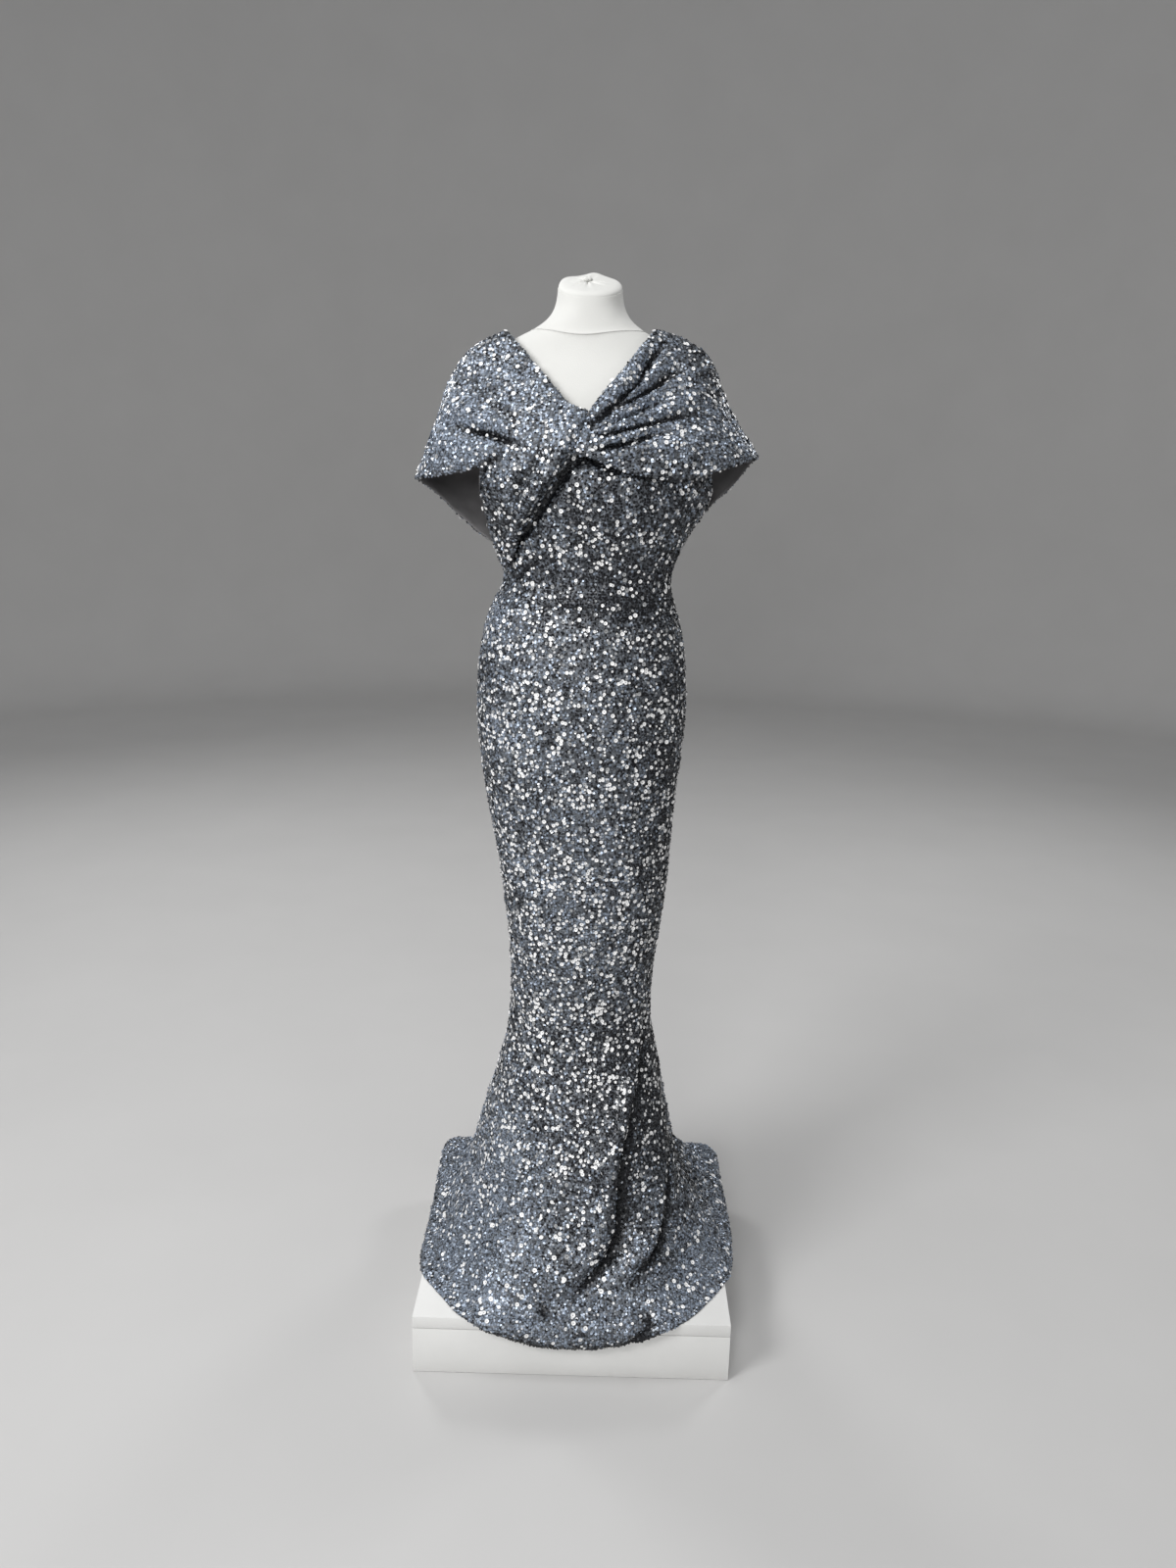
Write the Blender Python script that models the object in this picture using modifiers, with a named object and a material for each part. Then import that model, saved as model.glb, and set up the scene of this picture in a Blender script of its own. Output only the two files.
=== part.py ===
"""A grey-blue sequinned mermaid evening gown on a limbless dress form, its stand and a low display plinth.

Metres, +Z up, the front faces -Y. The origin is on the floor, under the middle of the plinth.

The gown is cut as a fitted front and two fitted backs joined at a waist seam to a fishtail skirt of one
front and two backs, whose hem pools on the plinth and falls over its edges. Two front drapes twist at the
bust and end in short cape sleeves, and two back wings join them along the crests of the sleeves.
Every cloth piece is a 2 mm wall, lofted through sections and closed with Solidify.
"""

import math
from collections import namedtuple

import bpy
import numpy as np

# ---------------------------------------------------------------- driving sizes
PLINTH = 0.500  # width and depth
PLINTH_HEIGHT = 0.100
BOARD = 0.018  # side boards
TOP_BOARD = 0.020
SEAM = 0.0003  # the gap between pieces that touch

AXIS_X = -0.005  # the form's own axis stands a little to the left of the plinth's
WALL = 0.0020  # thickness of the sequinned cloth
ROUNDNESS = 2.2  # exponent of the body's sections, 2 is an ellipse

WAIST_Z = 1.195
BODICE_TOP_Z = 1.425  # hidden under the drapes
YOKE_SEAM_Z = 1.280  # where the back wings meet the fitted back
YOKE_SEAM_GAP = 0.00075  # wider than the others, because the wings lean outwards there
KNEE_Z = 0.540  # where the flare starts

BASE_RADIUS = 0.150
BASE_THICK = 0.006
POLE_RADIUS = 0.014
NECK_LEAN = 0.42  # how much the neck's flat top falls towards the front
LEAN_FROM_Z = 1.604
KNOT_RADIUS = 0.006  # the knot that gathers the jersey on top of the neck
KNOT_FLATNESS = 0.4

Section = namedtuple("Section", "z left right front back")
Flare = namedtuple("Flare", "z reach")
Hem = namedtuple("Hem", "azimuth reach bend")
FoldPoint = namedtuple("FoldPoint", "z azimuth size")


def table(row_type, *rows):
    return [row_type(*row) for row in rows]


# The outside of the fitted gown, measured from its axis: height, then how far it reaches each way.
BODY = table(
    Section,
    (0.540, 0.110, 0.122, 0.097, 0.104),
    (0.593, 0.109, 0.123, 0.098, 0.104),
    (0.658, 0.115, 0.132, 0.100, 0.106),
    (0.735, 0.123, 0.140, 0.103, 0.110),
    (0.818, 0.137, 0.146, 0.107, 0.116),
    (0.873, 0.147, 0.149, 0.110, 0.122),
    (0.926, 0.156, 0.153, 0.113, 0.128),
    (1.020, 0.165, 0.161, 0.115, 0.132),
    (1.080, 0.164, 0.159, 0.113, 0.124),
    (1.137, 0.159, 0.155, 0.108, 0.110),
    (1.195, 0.141, 0.138, 0.100, 0.094),
    (1.235, 0.124, 0.131, 0.098, 0.086),
    (1.270, 0.133, 0.142, 0.106, 0.090),
    (1.305, 0.142, 0.158, 0.117, 0.096),
    (1.345, 0.151, 0.183, 0.127, 0.101),
    (1.385, 0.156, 0.186, 0.131, 0.103),
    (1.430, 0.159, 0.178, 0.126, 0.102),
)

# The bell that the cape sleeves make over the shoulders, measured the same way.
BELL = table(
    Section,
    (1.375, 0.262, 0.262, 0.133, 0.108),
    (1.420, 0.243, 0.257, 0.134, 0.104),
    (1.460, 0.227, 0.224, 0.125, 0.100),
    (1.500, 0.215, 0.202, 0.103, 0.092),
    (1.530, 0.202, 0.191, 0.081, 0.081),
    (1.560, 0.178, 0.174, 0.062, 0.068),
    (1.578, 0.149, 0.146, 0.051, 0.060),
    (1.587, 0.124, 0.124, 0.043, 0.052),
    (1.593, 0.112, 0.098, 0.036, 0.046),
)
FRONT_FADES = (1.290, 1.400)  # below this stretch the front drapes lie on the fitted gown
WING_NARROWS = 0.75  # exponent of the wings' narrowing from the bell to the yoke seam

# The flare below the knee: height of the cloth's outside, and how far it has come towards the plinth's edge.
FLARE = table(
    Flare,
    (0.488, 0.03),
    (0.432, 0.12),
    (0.376, 0.21),
    (0.322, 0.30),
    (0.270, 0.385),
    (0.222, 0.475),
    (0.180, 0.58),
    (0.148, 0.70),
    (0.124, 0.83),
    (0.110, 0.94),
)
# How far from the plinth's middle the hem would reach if the plinth's top went on for ever, and the radius of
# the cloth's bend over the plinth's edge.
HEM = table(
    Hem,
    (-180, 0.325, 0.022),
    (-157, 0.345, 0.022),
    (-135, 0.388, 0.018),
    (-112, 0.325, 0.014),
    (-90, 0.298, 0.012),
    (-61, 0.289, 0.012),
    (-47, 0.291, 0.014),
    (-33, 0.304, 0.016),
    (-12, 0.307, 0.016),
    (8, 0.307, 0.016),
    (35, 0.304, 0.016),
    (50, 0.293, 0.016),
    (61, 0.291, 0.020),
    (90, 0.310, 0.029),
    (112, 0.332, 0.024),
    (135, 0.388, 0.020),
    (157, 0.345, 0.022),
    (180, 0.325, 0.022),
)
HEM_STEPS = (0.0, 0.30, 0.62, 1.0)  # rows from the plinth's edge to the hem
HEM_MARGIN = 0.018  # least cloth beyond the last row on the plinth's top
EDGE_CORNER = 0.004  # the bend starts this far inside the plinth's edge
POOL_LIFT = 0.0030  # underside of the pooled cloth over the plinth
SEAT_LIFT = 0.0004  # and where its front corners rest on it
SEAT_AZIMUTHS = (-48, 48)
SEAT_SPREAD = 6  # degrees
TRAIN_LIFT = 0.015  # towards its back corners it stands off the plinth
TRAIN_AZIMUTHS = (-130, 128)
TRAIN_SPREAD = 24

# Folds of the fishtail, each a ridge that falls off over so many degrees on either side. A negative side runs
# towards -X.
FOLDS = {
    "great_lobe": {
        "ridge": table(
            FoldPoint, (0.112, -10, 0.0), (0.150, 0, 0.020), (0.210, 13, 0.026), (0.300, 23, 0.024),
            (0.400, 37, 0.017), (0.500, 56, 0.006), (0.560, 66, 0.0),
        ),
        "gentle_side": -42, "steep_side": 7,
    },
    "middle_lobe": {
        "ridge": table(
            FoldPoint, (0.118, 12, 0.0), (0.140, 20, 0.008), (0.165, 29, 0.013), (0.190, 40, 0.014),
            (0.230, 50, 0.011), (0.300, 60, 0.006), (0.400, 68, 0.0),
        ),
        "gentle_side": -16, "steep_side": 7,
    },
    "right_lobe": {
        "ridge": table(
            FoldPoint, (0.098, 72, 0.0), (0.106, 74, 0.008), (0.126, 77, 0.017), (0.150, 80, 0.018),
            (0.190, 83, 0.008), (0.250, 86, 0.0),
        ),
        "gentle_side": -18, "steep_side": 18,
    },
    "left_lobe": {
        "ridge": table(
            FoldPoint, (0.112, -88, 0.0), (0.160, -92, 0.010), (0.280, -100, 0.007), (0.400, -104, 0.0),
        ),
        "gentle_side": 20, "steep_side": -16,
    },
    "train_left": {
        "ridge": table(
            FoldPoint, (0.112, -146, 0.0), (0.180, -148, 0.018), (0.320, -150, 0.014), (0.460, -150, 0.0),
        ),
        "gentle_side": 17, "steep_side": -13,
    },
    "train_right": {
        "ridge": table(
            FoldPoint, (0.112, 149, 0.0), (0.180, 150, 0.018), (0.300, 150, 0.013), (0.460, 152, 0.0),
        ),
        "gentle_side": -18, "steep_side": 12,
    },
}

# Outlines of the drapes and wings seen from the front: (x, z) along each side.
LEFT_CREST = ((-0.127, 1.587), (-0.153, 1.578), (-0.182, 1.560), (-0.206, 1.529), (-0.219, 1.501),
              (-0.231, 1.459), (-0.247, 1.420), (-0.265, 1.375))
RIGHT_CREST = ((0.090, 1.592), (0.122, 1.586), (0.154, 1.570), (0.176, 1.550), (0.187, 1.523), (0.199, 1.495),
               (0.215, 1.468), (0.232, 1.442), (0.251, 1.416))
BACK_NECK_Z = 1.547
LEFT_CENTRE, RIGHT_CENTRE = AXIS_X - SEAM, AXIS_X + SEAM  # the two sides of the centre back seam
CREST_GAP = 0.0014  # between the outsides of front and back along the crest; their rims then nearly meet

DRAPES = {
    # crosses over the right one, and narrows to a point at the waist
    "drape_front_left": {
        "crest": LEFT_CREST,
        "neck": ((-0.127, 1.587), (-0.076, 1.532), (-0.030, 1.480), (-0.020, 1.473), (-0.003, 1.472)),
        "hem": ((-0.265, 1.375), (-0.231, 1.377), (-0.205, 1.381), (-0.174, 1.386), (-0.157, 1.392),
                (-0.143, 1.400), (-0.149, 1.388), (-0.155, 1.370), (-0.157, 1.346), (-0.155, 1.318),
                (-0.148, 1.294), (-0.139, 1.262), (-0.131, 1.236), (-0.118, 1.240)),
        "inner": ((-0.003, 1.472), (-0.008, 1.452), (-0.017, 1.428), (-0.030, 1.405), (-0.048, 1.376),
                  (-0.068, 1.347), (-0.083, 1.322), (-0.100, 1.293), (-0.112, 1.265), (-0.118, 1.240)),
        "front": True, "lies_out": 0.0085,
    },
    # comes out from under the left one at the twist
    "drape_front_right": {
        "crest": RIGHT_CREST,
        "neck": ((0.090, 1.592), (0.046, 1.534), (0.004, 1.481), (-0.006, 1.464)),
        "hem": ((0.251, 1.416), (0.212, 1.402), (0.174, 1.390), (0.151, 1.383), (0.116, 1.381), (0.077, 1.384),
                (0.050, 1.388), (0.026, 1.396), (0.006, 1.405), (-0.012, 1.411), (-0.032, 1.414)),
        "inner": ((-0.006, 1.464), (-0.016, 1.448), (-0.026, 1.430), (-0.032, 1.414)),
        "front": True, "lies_out": 0.0045,
    },
    "wing_back_left": {
        "crest": LEFT_CREST,
        "neck": ((-0.127, 1.587), (-0.090, 1.566), (-0.045, 1.551), (LEFT_CENTRE, BACK_NECK_Z)),
        "hem": ((-0.265, 1.375), (-0.233, 1.347), (-0.188, 1.307), (-0.146, YOKE_SEAM_Z), (-0.076, YOKE_SEAM_Z),
                (LEFT_CENTRE, YOKE_SEAM_Z)),
        "inner": ((LEFT_CENTRE, BACK_NECK_Z), (LEFT_CENTRE, YOKE_SEAM_Z)),
        "front": False,
    },
    "wing_back_right": {
        "crest": RIGHT_CREST,
        "neck": ((0.090, 1.592), (0.070, 1.572), (0.034, 1.553), (RIGHT_CENTRE, BACK_NECK_Z)),
        "hem": ((0.251, 1.416), (0.221, 1.373), (0.192, 1.345), (0.166, 1.314), (0.142, YOKE_SEAM_Z),
                (0.070, YOKE_SEAM_Z), (RIGHT_CENTRE, YOKE_SEAM_Z)),
        "inner": ((RIGHT_CENTRE, BACK_NECK_Z), (RIGHT_CENTRE, YOKE_SEAM_Z)),
        "front": False,
    },
}

# The dress form under the gown, measured from the same axis.
TORSO = table(
    Section,
    (0.860, 0.132, 0.130, 0.094, 0.106),
    (0.930, 0.144, 0.142, 0.102, 0.116),
    (1.020, 0.154, 0.150, 0.104, 0.120),
    (1.080, 0.153, 0.148, 0.102, 0.113),
    (1.137, 0.147, 0.143, 0.096, 0.099),
    (1.195, 0.130, 0.127, 0.089, 0.083),
    (1.235, 0.114, 0.119, 0.086, 0.075),
    (1.270, 0.122, 0.128, 0.093, 0.079),
    (1.310, 0.131, 0.140, 0.104, 0.085),
    (1.345, 0.139, 0.148, 0.113, 0.088),
    (1.385, 0.142, 0.152, 0.117, 0.090),
    (1.430, 0.150, 0.156, 0.114, 0.090),
    (1.470, 0.166, 0.164, 0.106, 0.087),
    (1.500, 0.170, 0.166, 0.089, 0.080),
    (1.530, 0.163, 0.157, 0.068, 0.066),
    (1.555, 0.142, 0.136, 0.055, 0.056),
    (1.575, 0.114, 0.108, 0.050, 0.051),
    (1.588, 0.086, 0.082, 0.048, 0.049),
)
NECK = table(
    Section,
    (1.5883, 0.0855, 0.0815, 0.0478, 0.0488),
    (1.600, 0.066, 0.064, 0.046, 0.047),
    (1.614, 0.054, 0.053, 0.045, 0.046),
    (1.632, 0.0490, 0.0475, 0.0445, 0.0455),
    (1.6467, 0.0480, 0.0465, 0.044, 0.045),
)
NECK_CAP = table(
    Section,
    (1.6470, 0.0480, 0.0465, 0.044, 0.045),
    (1.6510, 0.0470, 0.0455, 0.0435, 0.0445),
    (1.6540, 0.0440, 0.0425, 0.041, 0.042),
    (1.6560, 0.0370, 0.0360, 0.034, 0.035),
    (1.6570, 0.0200, 0.0200, 0.019, 0.020),
)

# Rows and columns of the panels.
SKIRT_HEIGHTS = (WAIST_Z - SEAM, 1.150, 1.090, 1.020, 0.940, 0.860, 0.780, 0.700, 0.625, KNEE_Z)
BODICE_BACK_HEIGHTS = (WAIST_Z + SEAM, 1.215, 1.235, 1.255, YOKE_SEAM_Z - YOKE_SEAM_GAP)
BODICE_FRONT_HEIGHTS = (
    WAIST_Z + SEAM, 1.215, 1.235, 1.255, 1.280, 1.305, 1.330, 1.357, 1.385, 1.405, BODICE_TOP_Z
)
DRAPE_ROWS, DRAPE_COLUMNS = 15, 13
CREST_COLUMNS = 2  # a drape rises over these from the crest, which lies on the seam between front and back
SEAM_TURN = 0.13  # degrees that a panel stops short of a side or centre seam, which leaves the seam gap

# ---------------------------------------------------------------- helpers


def clear_scene():
    for obj in list(bpy.data.objects):
        bpy.data.objects.remove(obj, do_unlink=True)


def finish(name, colour, roughness, metallic=0.0):
    material = bpy.data.materials.new(name)
    material.use_nodes = True
    shader = material.node_tree.nodes["Principled BSDF"]
    shader.inputs["Base Color"].default_value = (*colour, 1.0)
    shader.inputs["Roughness"].default_value = roughness
    shader.inputs["Metallic"].default_value = metallic
    return material


def smooth_read(rows, key):
    """The row of a table at key, on a smooth curve through its rows."""
    values = np.array(rows, float)
    keys = values[:, 0]
    slopes = np.gradient(values, keys, axis=0)
    key = float(np.clip(key, keys[0], keys[-1]))
    i = int(np.clip(np.searchsorted(keys, key) - 1, 0, len(keys) - 2))
    span = keys[i + 1] - keys[i]
    t = (key - keys[i]) / span
    return type(rows[0])(*(
        (2 * t**3 - 3 * t**2 + 1) * values[i]
        + (t**3 - 2 * t**2 + t) * span * slopes[i]
        + (-2 * t**3 + 3 * t**2) * values[i + 1]
        + (t**3 - t**2) * span * slopes[i + 1]
    ))


def fade(value, low, high):
    """0 below low, 1 above high, and a smooth step between."""
    t = min(max((value - low) / (high - low), 0.0), 1.0)
    return t * t * (3 - 2 * t)


def squared_off(value):
    return math.copysign(abs(value) ** (2 / ROUNDNESS), value)


def ring_point(sections, z, azimuth):
    """A point on a section of the body: azimuth 0 is the front, 90 the side at +X."""
    section = smooth_read(sections, z)
    turn = math.radians(azimuth)
    across, ahead = squared_off(math.sin(turn)), squared_off(math.cos(turn))
    x = AXIS_X + across * (section.right if across > 0 else section.left)
    y = -ahead * (section.front if ahead > 0 else section.back)
    return np.array((x, y, z))


def loft(name, grid, material, thickness=None, closed=False):
    """A surface through the rows of a grid of points.

    Cloth gets a wall: its rows run down and, seen from outside, from right to left. A closed loft gets two
    lids: its rows run up and from left to right.
    """
    grid = np.asarray(grid, float)
    rows, across = grid.shape[:2]
    steps = across if closed else across - 1
    faces = []
    for r in range(rows - 1):
        for c in range(steps):
            here = r * across + c
            beside = r * across + (c + 1) % across
            faces.append((here, beside, beside + across, here + across))
    if closed:
        faces.append(tuple(reversed(range(across))))
        faces.append(tuple((rows - 1) * across + c for c in range(across)))
    mesh = bpy.data.meshes.new(name)
    mesh.from_pydata([tuple(p) for p in grid.reshape(-1, 3)], [], faces)
    mesh.materials.append(material)
    mesh.shade_smooth()
    obj = bpy.data.objects.new(name, mesh)
    PARTS.objects.link(obj)
    if thickness:
        wall = obj.modifiers.new("Wall", "SOLIDIFY")
        wall.thickness = thickness
        wall.offset = -1.0
    return obj


def adopt(obj, name, material):
    """Takes the object that an operator has just made into the model."""
    obj.name = obj.data.name = name
    obj.data.materials.append(material)
    for collection in list(obj.users_collection):
        collection.objects.unlink(obj)
    PARTS.objects.link(obj)
    return obj


def board(name, low, high, material):
    low, high = np.array(low), np.array(high)
    bpy.ops.mesh.primitive_cube_add(size=1, location=(low + high) / 2)
    obj = bpy.context.object
    obj.scale = high - low
    bpy.ops.object.transform_apply(location=False, rotation=False, scale=True)
    return adopt(obj, name, material)


def disc(name, radius, bottom, top, sides, material):
    bpy.ops.mesh.primitive_cylinder_add(
        radius=radius, depth=top - bottom, vertices=sides, location=(AXIS_X, 0, (top + bottom) / 2)
    )
    obj = adopt(bpy.context.object, name, material)
    obj.data.shade_smooth()
    obj.data.set_sharp_from_angle(angle=math.radians(40))
    return obj


# ---------------------------------------------------------------- plinth and stand


def make_plinth(material):
    half = PLINTH / 2
    under = PLINTH_HEIGHT - TOP_BOARD - SEAM
    inner = half - BOARD
    board("plinth_top", (-half, -half, PLINTH_HEIGHT - TOP_BOARD), (half, half, PLINTH_HEIGHT), material)
    board("plinth_front", (-half, -half, 0), (half, -inner, under), material)
    board("plinth_back", (-half, inner, 0), (half, half, under), material)
    board("plinth_left", (-half, -inner + SEAM, 0), (-inner, inner - SEAM, under), material)
    board("plinth_right", (inner, -inner + SEAM, 0), (half, inner - SEAM, under), material)


def make_stand(material):
    base_bottom = PLINTH_HEIGHT + SEAM
    base_top = base_bottom + BASE_THICK
    disc("stand_base", BASE_RADIUS, base_bottom, base_top, 40, material)
    disc("stand_pole", POLE_RADIUS, base_top + SEAM, TORSO[0].z - SEAM, 20, material)


# ---------------------------------------------------------------- dress form


def form_point(sections, z, azimuth):
    """A point on a section of the form, whose neck has a top that falls towards the front."""
    x, y, z = ring_point(sections, z, azimuth)
    return x, y, z + NECK_LEAN * y * fade(z, LEAN_FROM_Z, NECK[-1].z)


def make_form(material):
    azimuths = np.arange(0, 360, 10)
    for name, sections in (("form_torso", TORSO), ("form_neck", NECK), ("form_neck_cap", NECK_CAP)):
        grid = [[form_point(sections, section.z, a) for a in azimuths] for section in sections]
        loft(name, grid, material, closed=True)
    height = NECK_CAP[-1].z + SEAM + KNOT_RADIUS * KNOT_FLATNESS
    bpy.ops.mesh.primitive_uv_sphere_add(
        radius=KNOT_RADIUS, segments=16, ring_count=8, location=(AXIS_X - 0.005, 0, height)
    )
    knot = bpy.context.object
    knot.scale = (1.25, 1.0, KNOT_FLATNESS)
    bpy.ops.object.transform_apply(location=False, rotation=False, scale=True)
    for vertex in knot.data.vertices:
        vertex.co.z += NECK_LEAN * vertex.co.y
    adopt(knot, "form_neck_knot", material).data.shade_smooth()


# ---------------------------------------------------------------- fishtail skirt


def plinth_edge(azimuth):
    """How far the plinth's edge is from its middle."""
    turn = math.radians(azimuth)
    return PLINTH / 2 / max(abs(math.sin(turn)), abs(math.cos(turn)))


def lift_at(azimuth):
    """The pooled cloth's underside over the plinth: it rests on it near the two bare front corners."""
    rest = max(math.exp(-(((azimuth - seat) / SEAT_SPREAD) ** 2)) for seat in SEAT_AZIMUTHS)
    stand_off = max(math.exp(-(((azimuth - train) / TRAIN_SPREAD) ** 2)) for train in TRAIN_AZIMUTHS)
    return POOL_LIFT + (SEAT_LIFT - POOL_LIFT) * rest + (TRAIN_LIFT - POOL_LIFT) * stand_off


def laid_over_edge(azimuth, reach, bend_radius):
    """The outside of the cloth at this reach on the plinth: on top of it, or bent down over its edge."""
    turn = math.radians(azimuth)
    flat = np.array((math.sin(turn), -math.cos(turn))) * reach
    core = PLINTH / 2 - EDGE_CORNER
    nearest = np.clip(flat, -core, core)
    away = flat - nearest
    distance = float(np.linalg.norm(away))
    past = distance - EDGE_CORNER
    z = PLINTH_HEIGHT + lift_at(azimuth) + WALL
    if past <= 0:
        return np.array((*flat, z))
    bend = min(past / bend_radius, math.pi / 2)
    out = EDGE_CORNER + bend_radius * math.sin(bend)
    drop = bend_radius * (1 - math.cos(bend)) + max(0.0, past - bend_radius * math.pi / 2)
    return np.array((*(nearest + away / distance * out), z - drop))


def skirt_column(azimuth):
    """The points of the skirt down one azimuth, from the waist to the hem."""
    hem = smooth_read(HEM, azimuth)
    last_on_top = min(plinth_edge(azimuth), hem.reach - HEM_MARGIN)
    knee = ring_point(BODY, KNEE_Z, azimuth)
    edge = laid_over_edge(azimuth, last_on_top, hem.bend)
    column = [ring_point(BODY, z, azimuth) for z in SKIRT_HEIGHTS]
    for row in FLARE:
        point = knee + (edge - knee) * row.reach
        point[2] = max(row.z, edge[2])
        column.append(point)
    for share in HEM_STEPS:
        column.append(laid_over_edge(azimuth, last_on_top + (hem.reach - last_on_top) * share, hem.bend))
    return column


def surface_normals(grid):
    down = np.gradient(grid, axis=0)
    across = np.gradient(grid, axis=1)
    normals = np.cross(down, across)
    return normals / np.linalg.norm(normals, axis=2, keepdims=True)


def folds_push(z, azimuth):
    """How far the folds push this place of the skirt outwards."""
    push = 0.0
    for fold in FOLDS.values():
        ridge = fold["ridge"]
        if not ridge[0].z < z < ridge[-1].z:
            continue
        middle = smooth_read(ridge, z)
        turn = (azimuth - middle.azimuth + 180) % 360 - 180
        gentle = turn * fold["gentle_side"] > 0
        width = fold["gentle_side"] if gentle else fold["steep_side"]
        push += max(middle.size, 0.0) * math.exp(-((turn / width) ** 2))
    return push


def make_skirt(material):
    panels = {
        "skirt_front": np.linspace(-90 + SEAM_TURN, 90 - SEAM_TURN, 31),
        "skirt_back_right": np.linspace(90 + SEAM_TURN, 180 - SEAM_TURN, 11),
        "skirt_back_left": np.linspace(-180 + SEAM_TURN, -90 - SEAM_TURN, 11),
    }
    for name, azimuths in panels.items():
        grid = np.stack([skirt_column(a) for a in azimuths], axis=1)
        heights = np.median(grid[:, :, 2], axis=1)
        push = np.array([[folds_push(z, a) for a in azimuths] for z in heights])
        grid = grid + surface_normals(grid) * push[:, :, None]
        loft(name, grid[:, ::-1], material, thickness=WALL)


# ---------------------------------------------------------------- bodice, drapes and wings


def make_bodice(material):
    panels = (
        ("bodice_front", np.linspace(-90 + SEAM_TURN, 90 - SEAM_TURN, 25), BODICE_FRONT_HEIGHTS),
        ("bodice_back_right", np.linspace(90 + SEAM_TURN, 180 - SEAM_TURN, 10), BODICE_BACK_HEIGHTS),
        ("bodice_back_left", np.linspace(-180 + SEAM_TURN, -90 - SEAM_TURN, 10), BODICE_BACK_HEIGHTS),
    )
    for name, azimuths, heights in panels:
        grid = np.array([[ring_point(BODY, z, a) for a in azimuths] for z in reversed(heights)])
        loft(name, grid[:, ::-1], material, thickness=WALL)


def crowd_to_start(share):
    return 1 - np.cos(share * math.pi / 2)


def along(points, shares):
    """Places along a line of points, at these shares of its length."""
    points = np.array(points)
    steps = np.linalg.norm(np.diff(points, axis=0), axis=1)
    lengths = np.concatenate(([0], np.cumsum(steps)))
    return np.stack([np.interp(shares * lengths[-1], lengths, points[:, k]) for k in range(2)], axis=1)


def patch(neck, hem, crest, inner):
    """A grid of (x, z) inside four sides. It crowds towards the crest, where the cloth turns over."""
    across = crowd_to_start(np.linspace(0, 1, DRAPE_COLUMNS))
    down = np.linspace(0, 1, DRAPE_ROWS)
    neck, hem = along(neck, across), along(hem, across)
    crest, inner = along(crest, down), along(inner, down)
    s, t = across[None, :, None], down[:, None, None]
    ruled = (1 - t) * neck[None] + t * hem[None] + (1 - s) * crest[:, None] + s * inner[:, None]
    corners = (1 - s) * (1 - t) * neck[0] + s * (1 - t) * neck[-1] + (1 - s) * t * hem[0] + s * t * hem[-1]
    return ruled - corners


def bulge(half_width, x):
    """The share of a section's depth that is left this far to the side."""
    across = min(abs(x - AXIS_X) / half_width, 1.0)
    return (1 - across**ROUNDNESS) ** (1 / ROUNDNESS)


def front_depth(x, z, lies_out):
    """How far in front of the crests a front drape lies: on the fitted gown low down, on the bell higher up."""
    body, bell = smooth_read(BODY, z), smooth_read(BELL, z)
    side = "right" if x > AXIS_X else "left"
    on_body = (body.front + lies_out) * bulge(getattr(body, side) + lies_out, x)
    on_bell = bell.front * bulge(getattr(bell, side), x) + lies_out
    share = fade(z, *FRONT_FADES)
    return share * on_bell + (1 - share) * on_body


def back_depth(x, z):
    """How far behind the crests a wing lies: the bell narrows to meet the fitted back at the yoke seam."""
    body, bell = smooth_read(BODY, z), smooth_read(BELL, z)
    side = "right" if x > AXIS_X else "left"
    share = min(max(z - YOKE_SEAM_Z, 0.0) / (BELL[0].z - YOKE_SEAM_Z), 1.0) ** WING_NARROWS
    half_width = share * getattr(bell, side) + (1 - share) * getattr(body, side)
    return (share * bell.back + (1 - share) * body.back) * bulge(half_width, x)


def make_drape(name, drape, material):
    grid = np.zeros((DRAPE_ROWS, DRAPE_COLUMNS, 3))
    for r, row in enumerate(patch(drape["neck"], drape["hem"], drape["crest"], drape["inner"])):
        for c, (x, z) in enumerate(row):
            rise = min(c / CREST_COLUMNS, 1.0)
            depth = front_depth(x, z, drape["lies_out"]) if drape["front"] else back_depth(x, z)
            depth = max(rise * depth, CREST_GAP / 2)
            grid[r, c] = (x, -depth if drape["front"] else depth, z)
    runs_right = grid[0, -1, 0] > grid[0, 0, 0]
    if runs_right == drape["front"]:
        grid = grid[:, ::-1]
    loft(name, grid, material, thickness=WALL)


clear_scene()
PARTS = bpy.data.collections.new("evening_gown_on_dress_form")
bpy.context.scene.collection.children.link(PARTS)
board_finish = finish("plinth_board", (0.80, 0.80, 0.79), 0.45)
steel_finish = finish("stand_steel", (0.55, 0.55, 0.56), 0.35, 1.0)
jersey_finish = finish("form_jersey", (0.86, 0.86, 0.84), 0.85)
sequin_finish = finish("sequinned_cloth", (0.20, 0.23, 0.28), 0.35, 0.4)
make_plinth(board_finish)
make_stand(steel_finish)
make_form(jersey_finish)
make_skirt(sequin_finish)
make_bodice(sequin_finish)
for drape_name, drape_shape in DRAPES.items():
    make_drape(drape_name, drape_shape, sequin_finish)
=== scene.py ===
"""A grey-blue sequinned mermaid evening gown on a white dress form, its stand and a low white plinth."""

import math

import bmesh
import bpy
import numpy as np
from mathutils import Matrix, Vector
from mathutils.bvhtree import BVHTree
from mathutils.kdtree import KDTree


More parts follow.
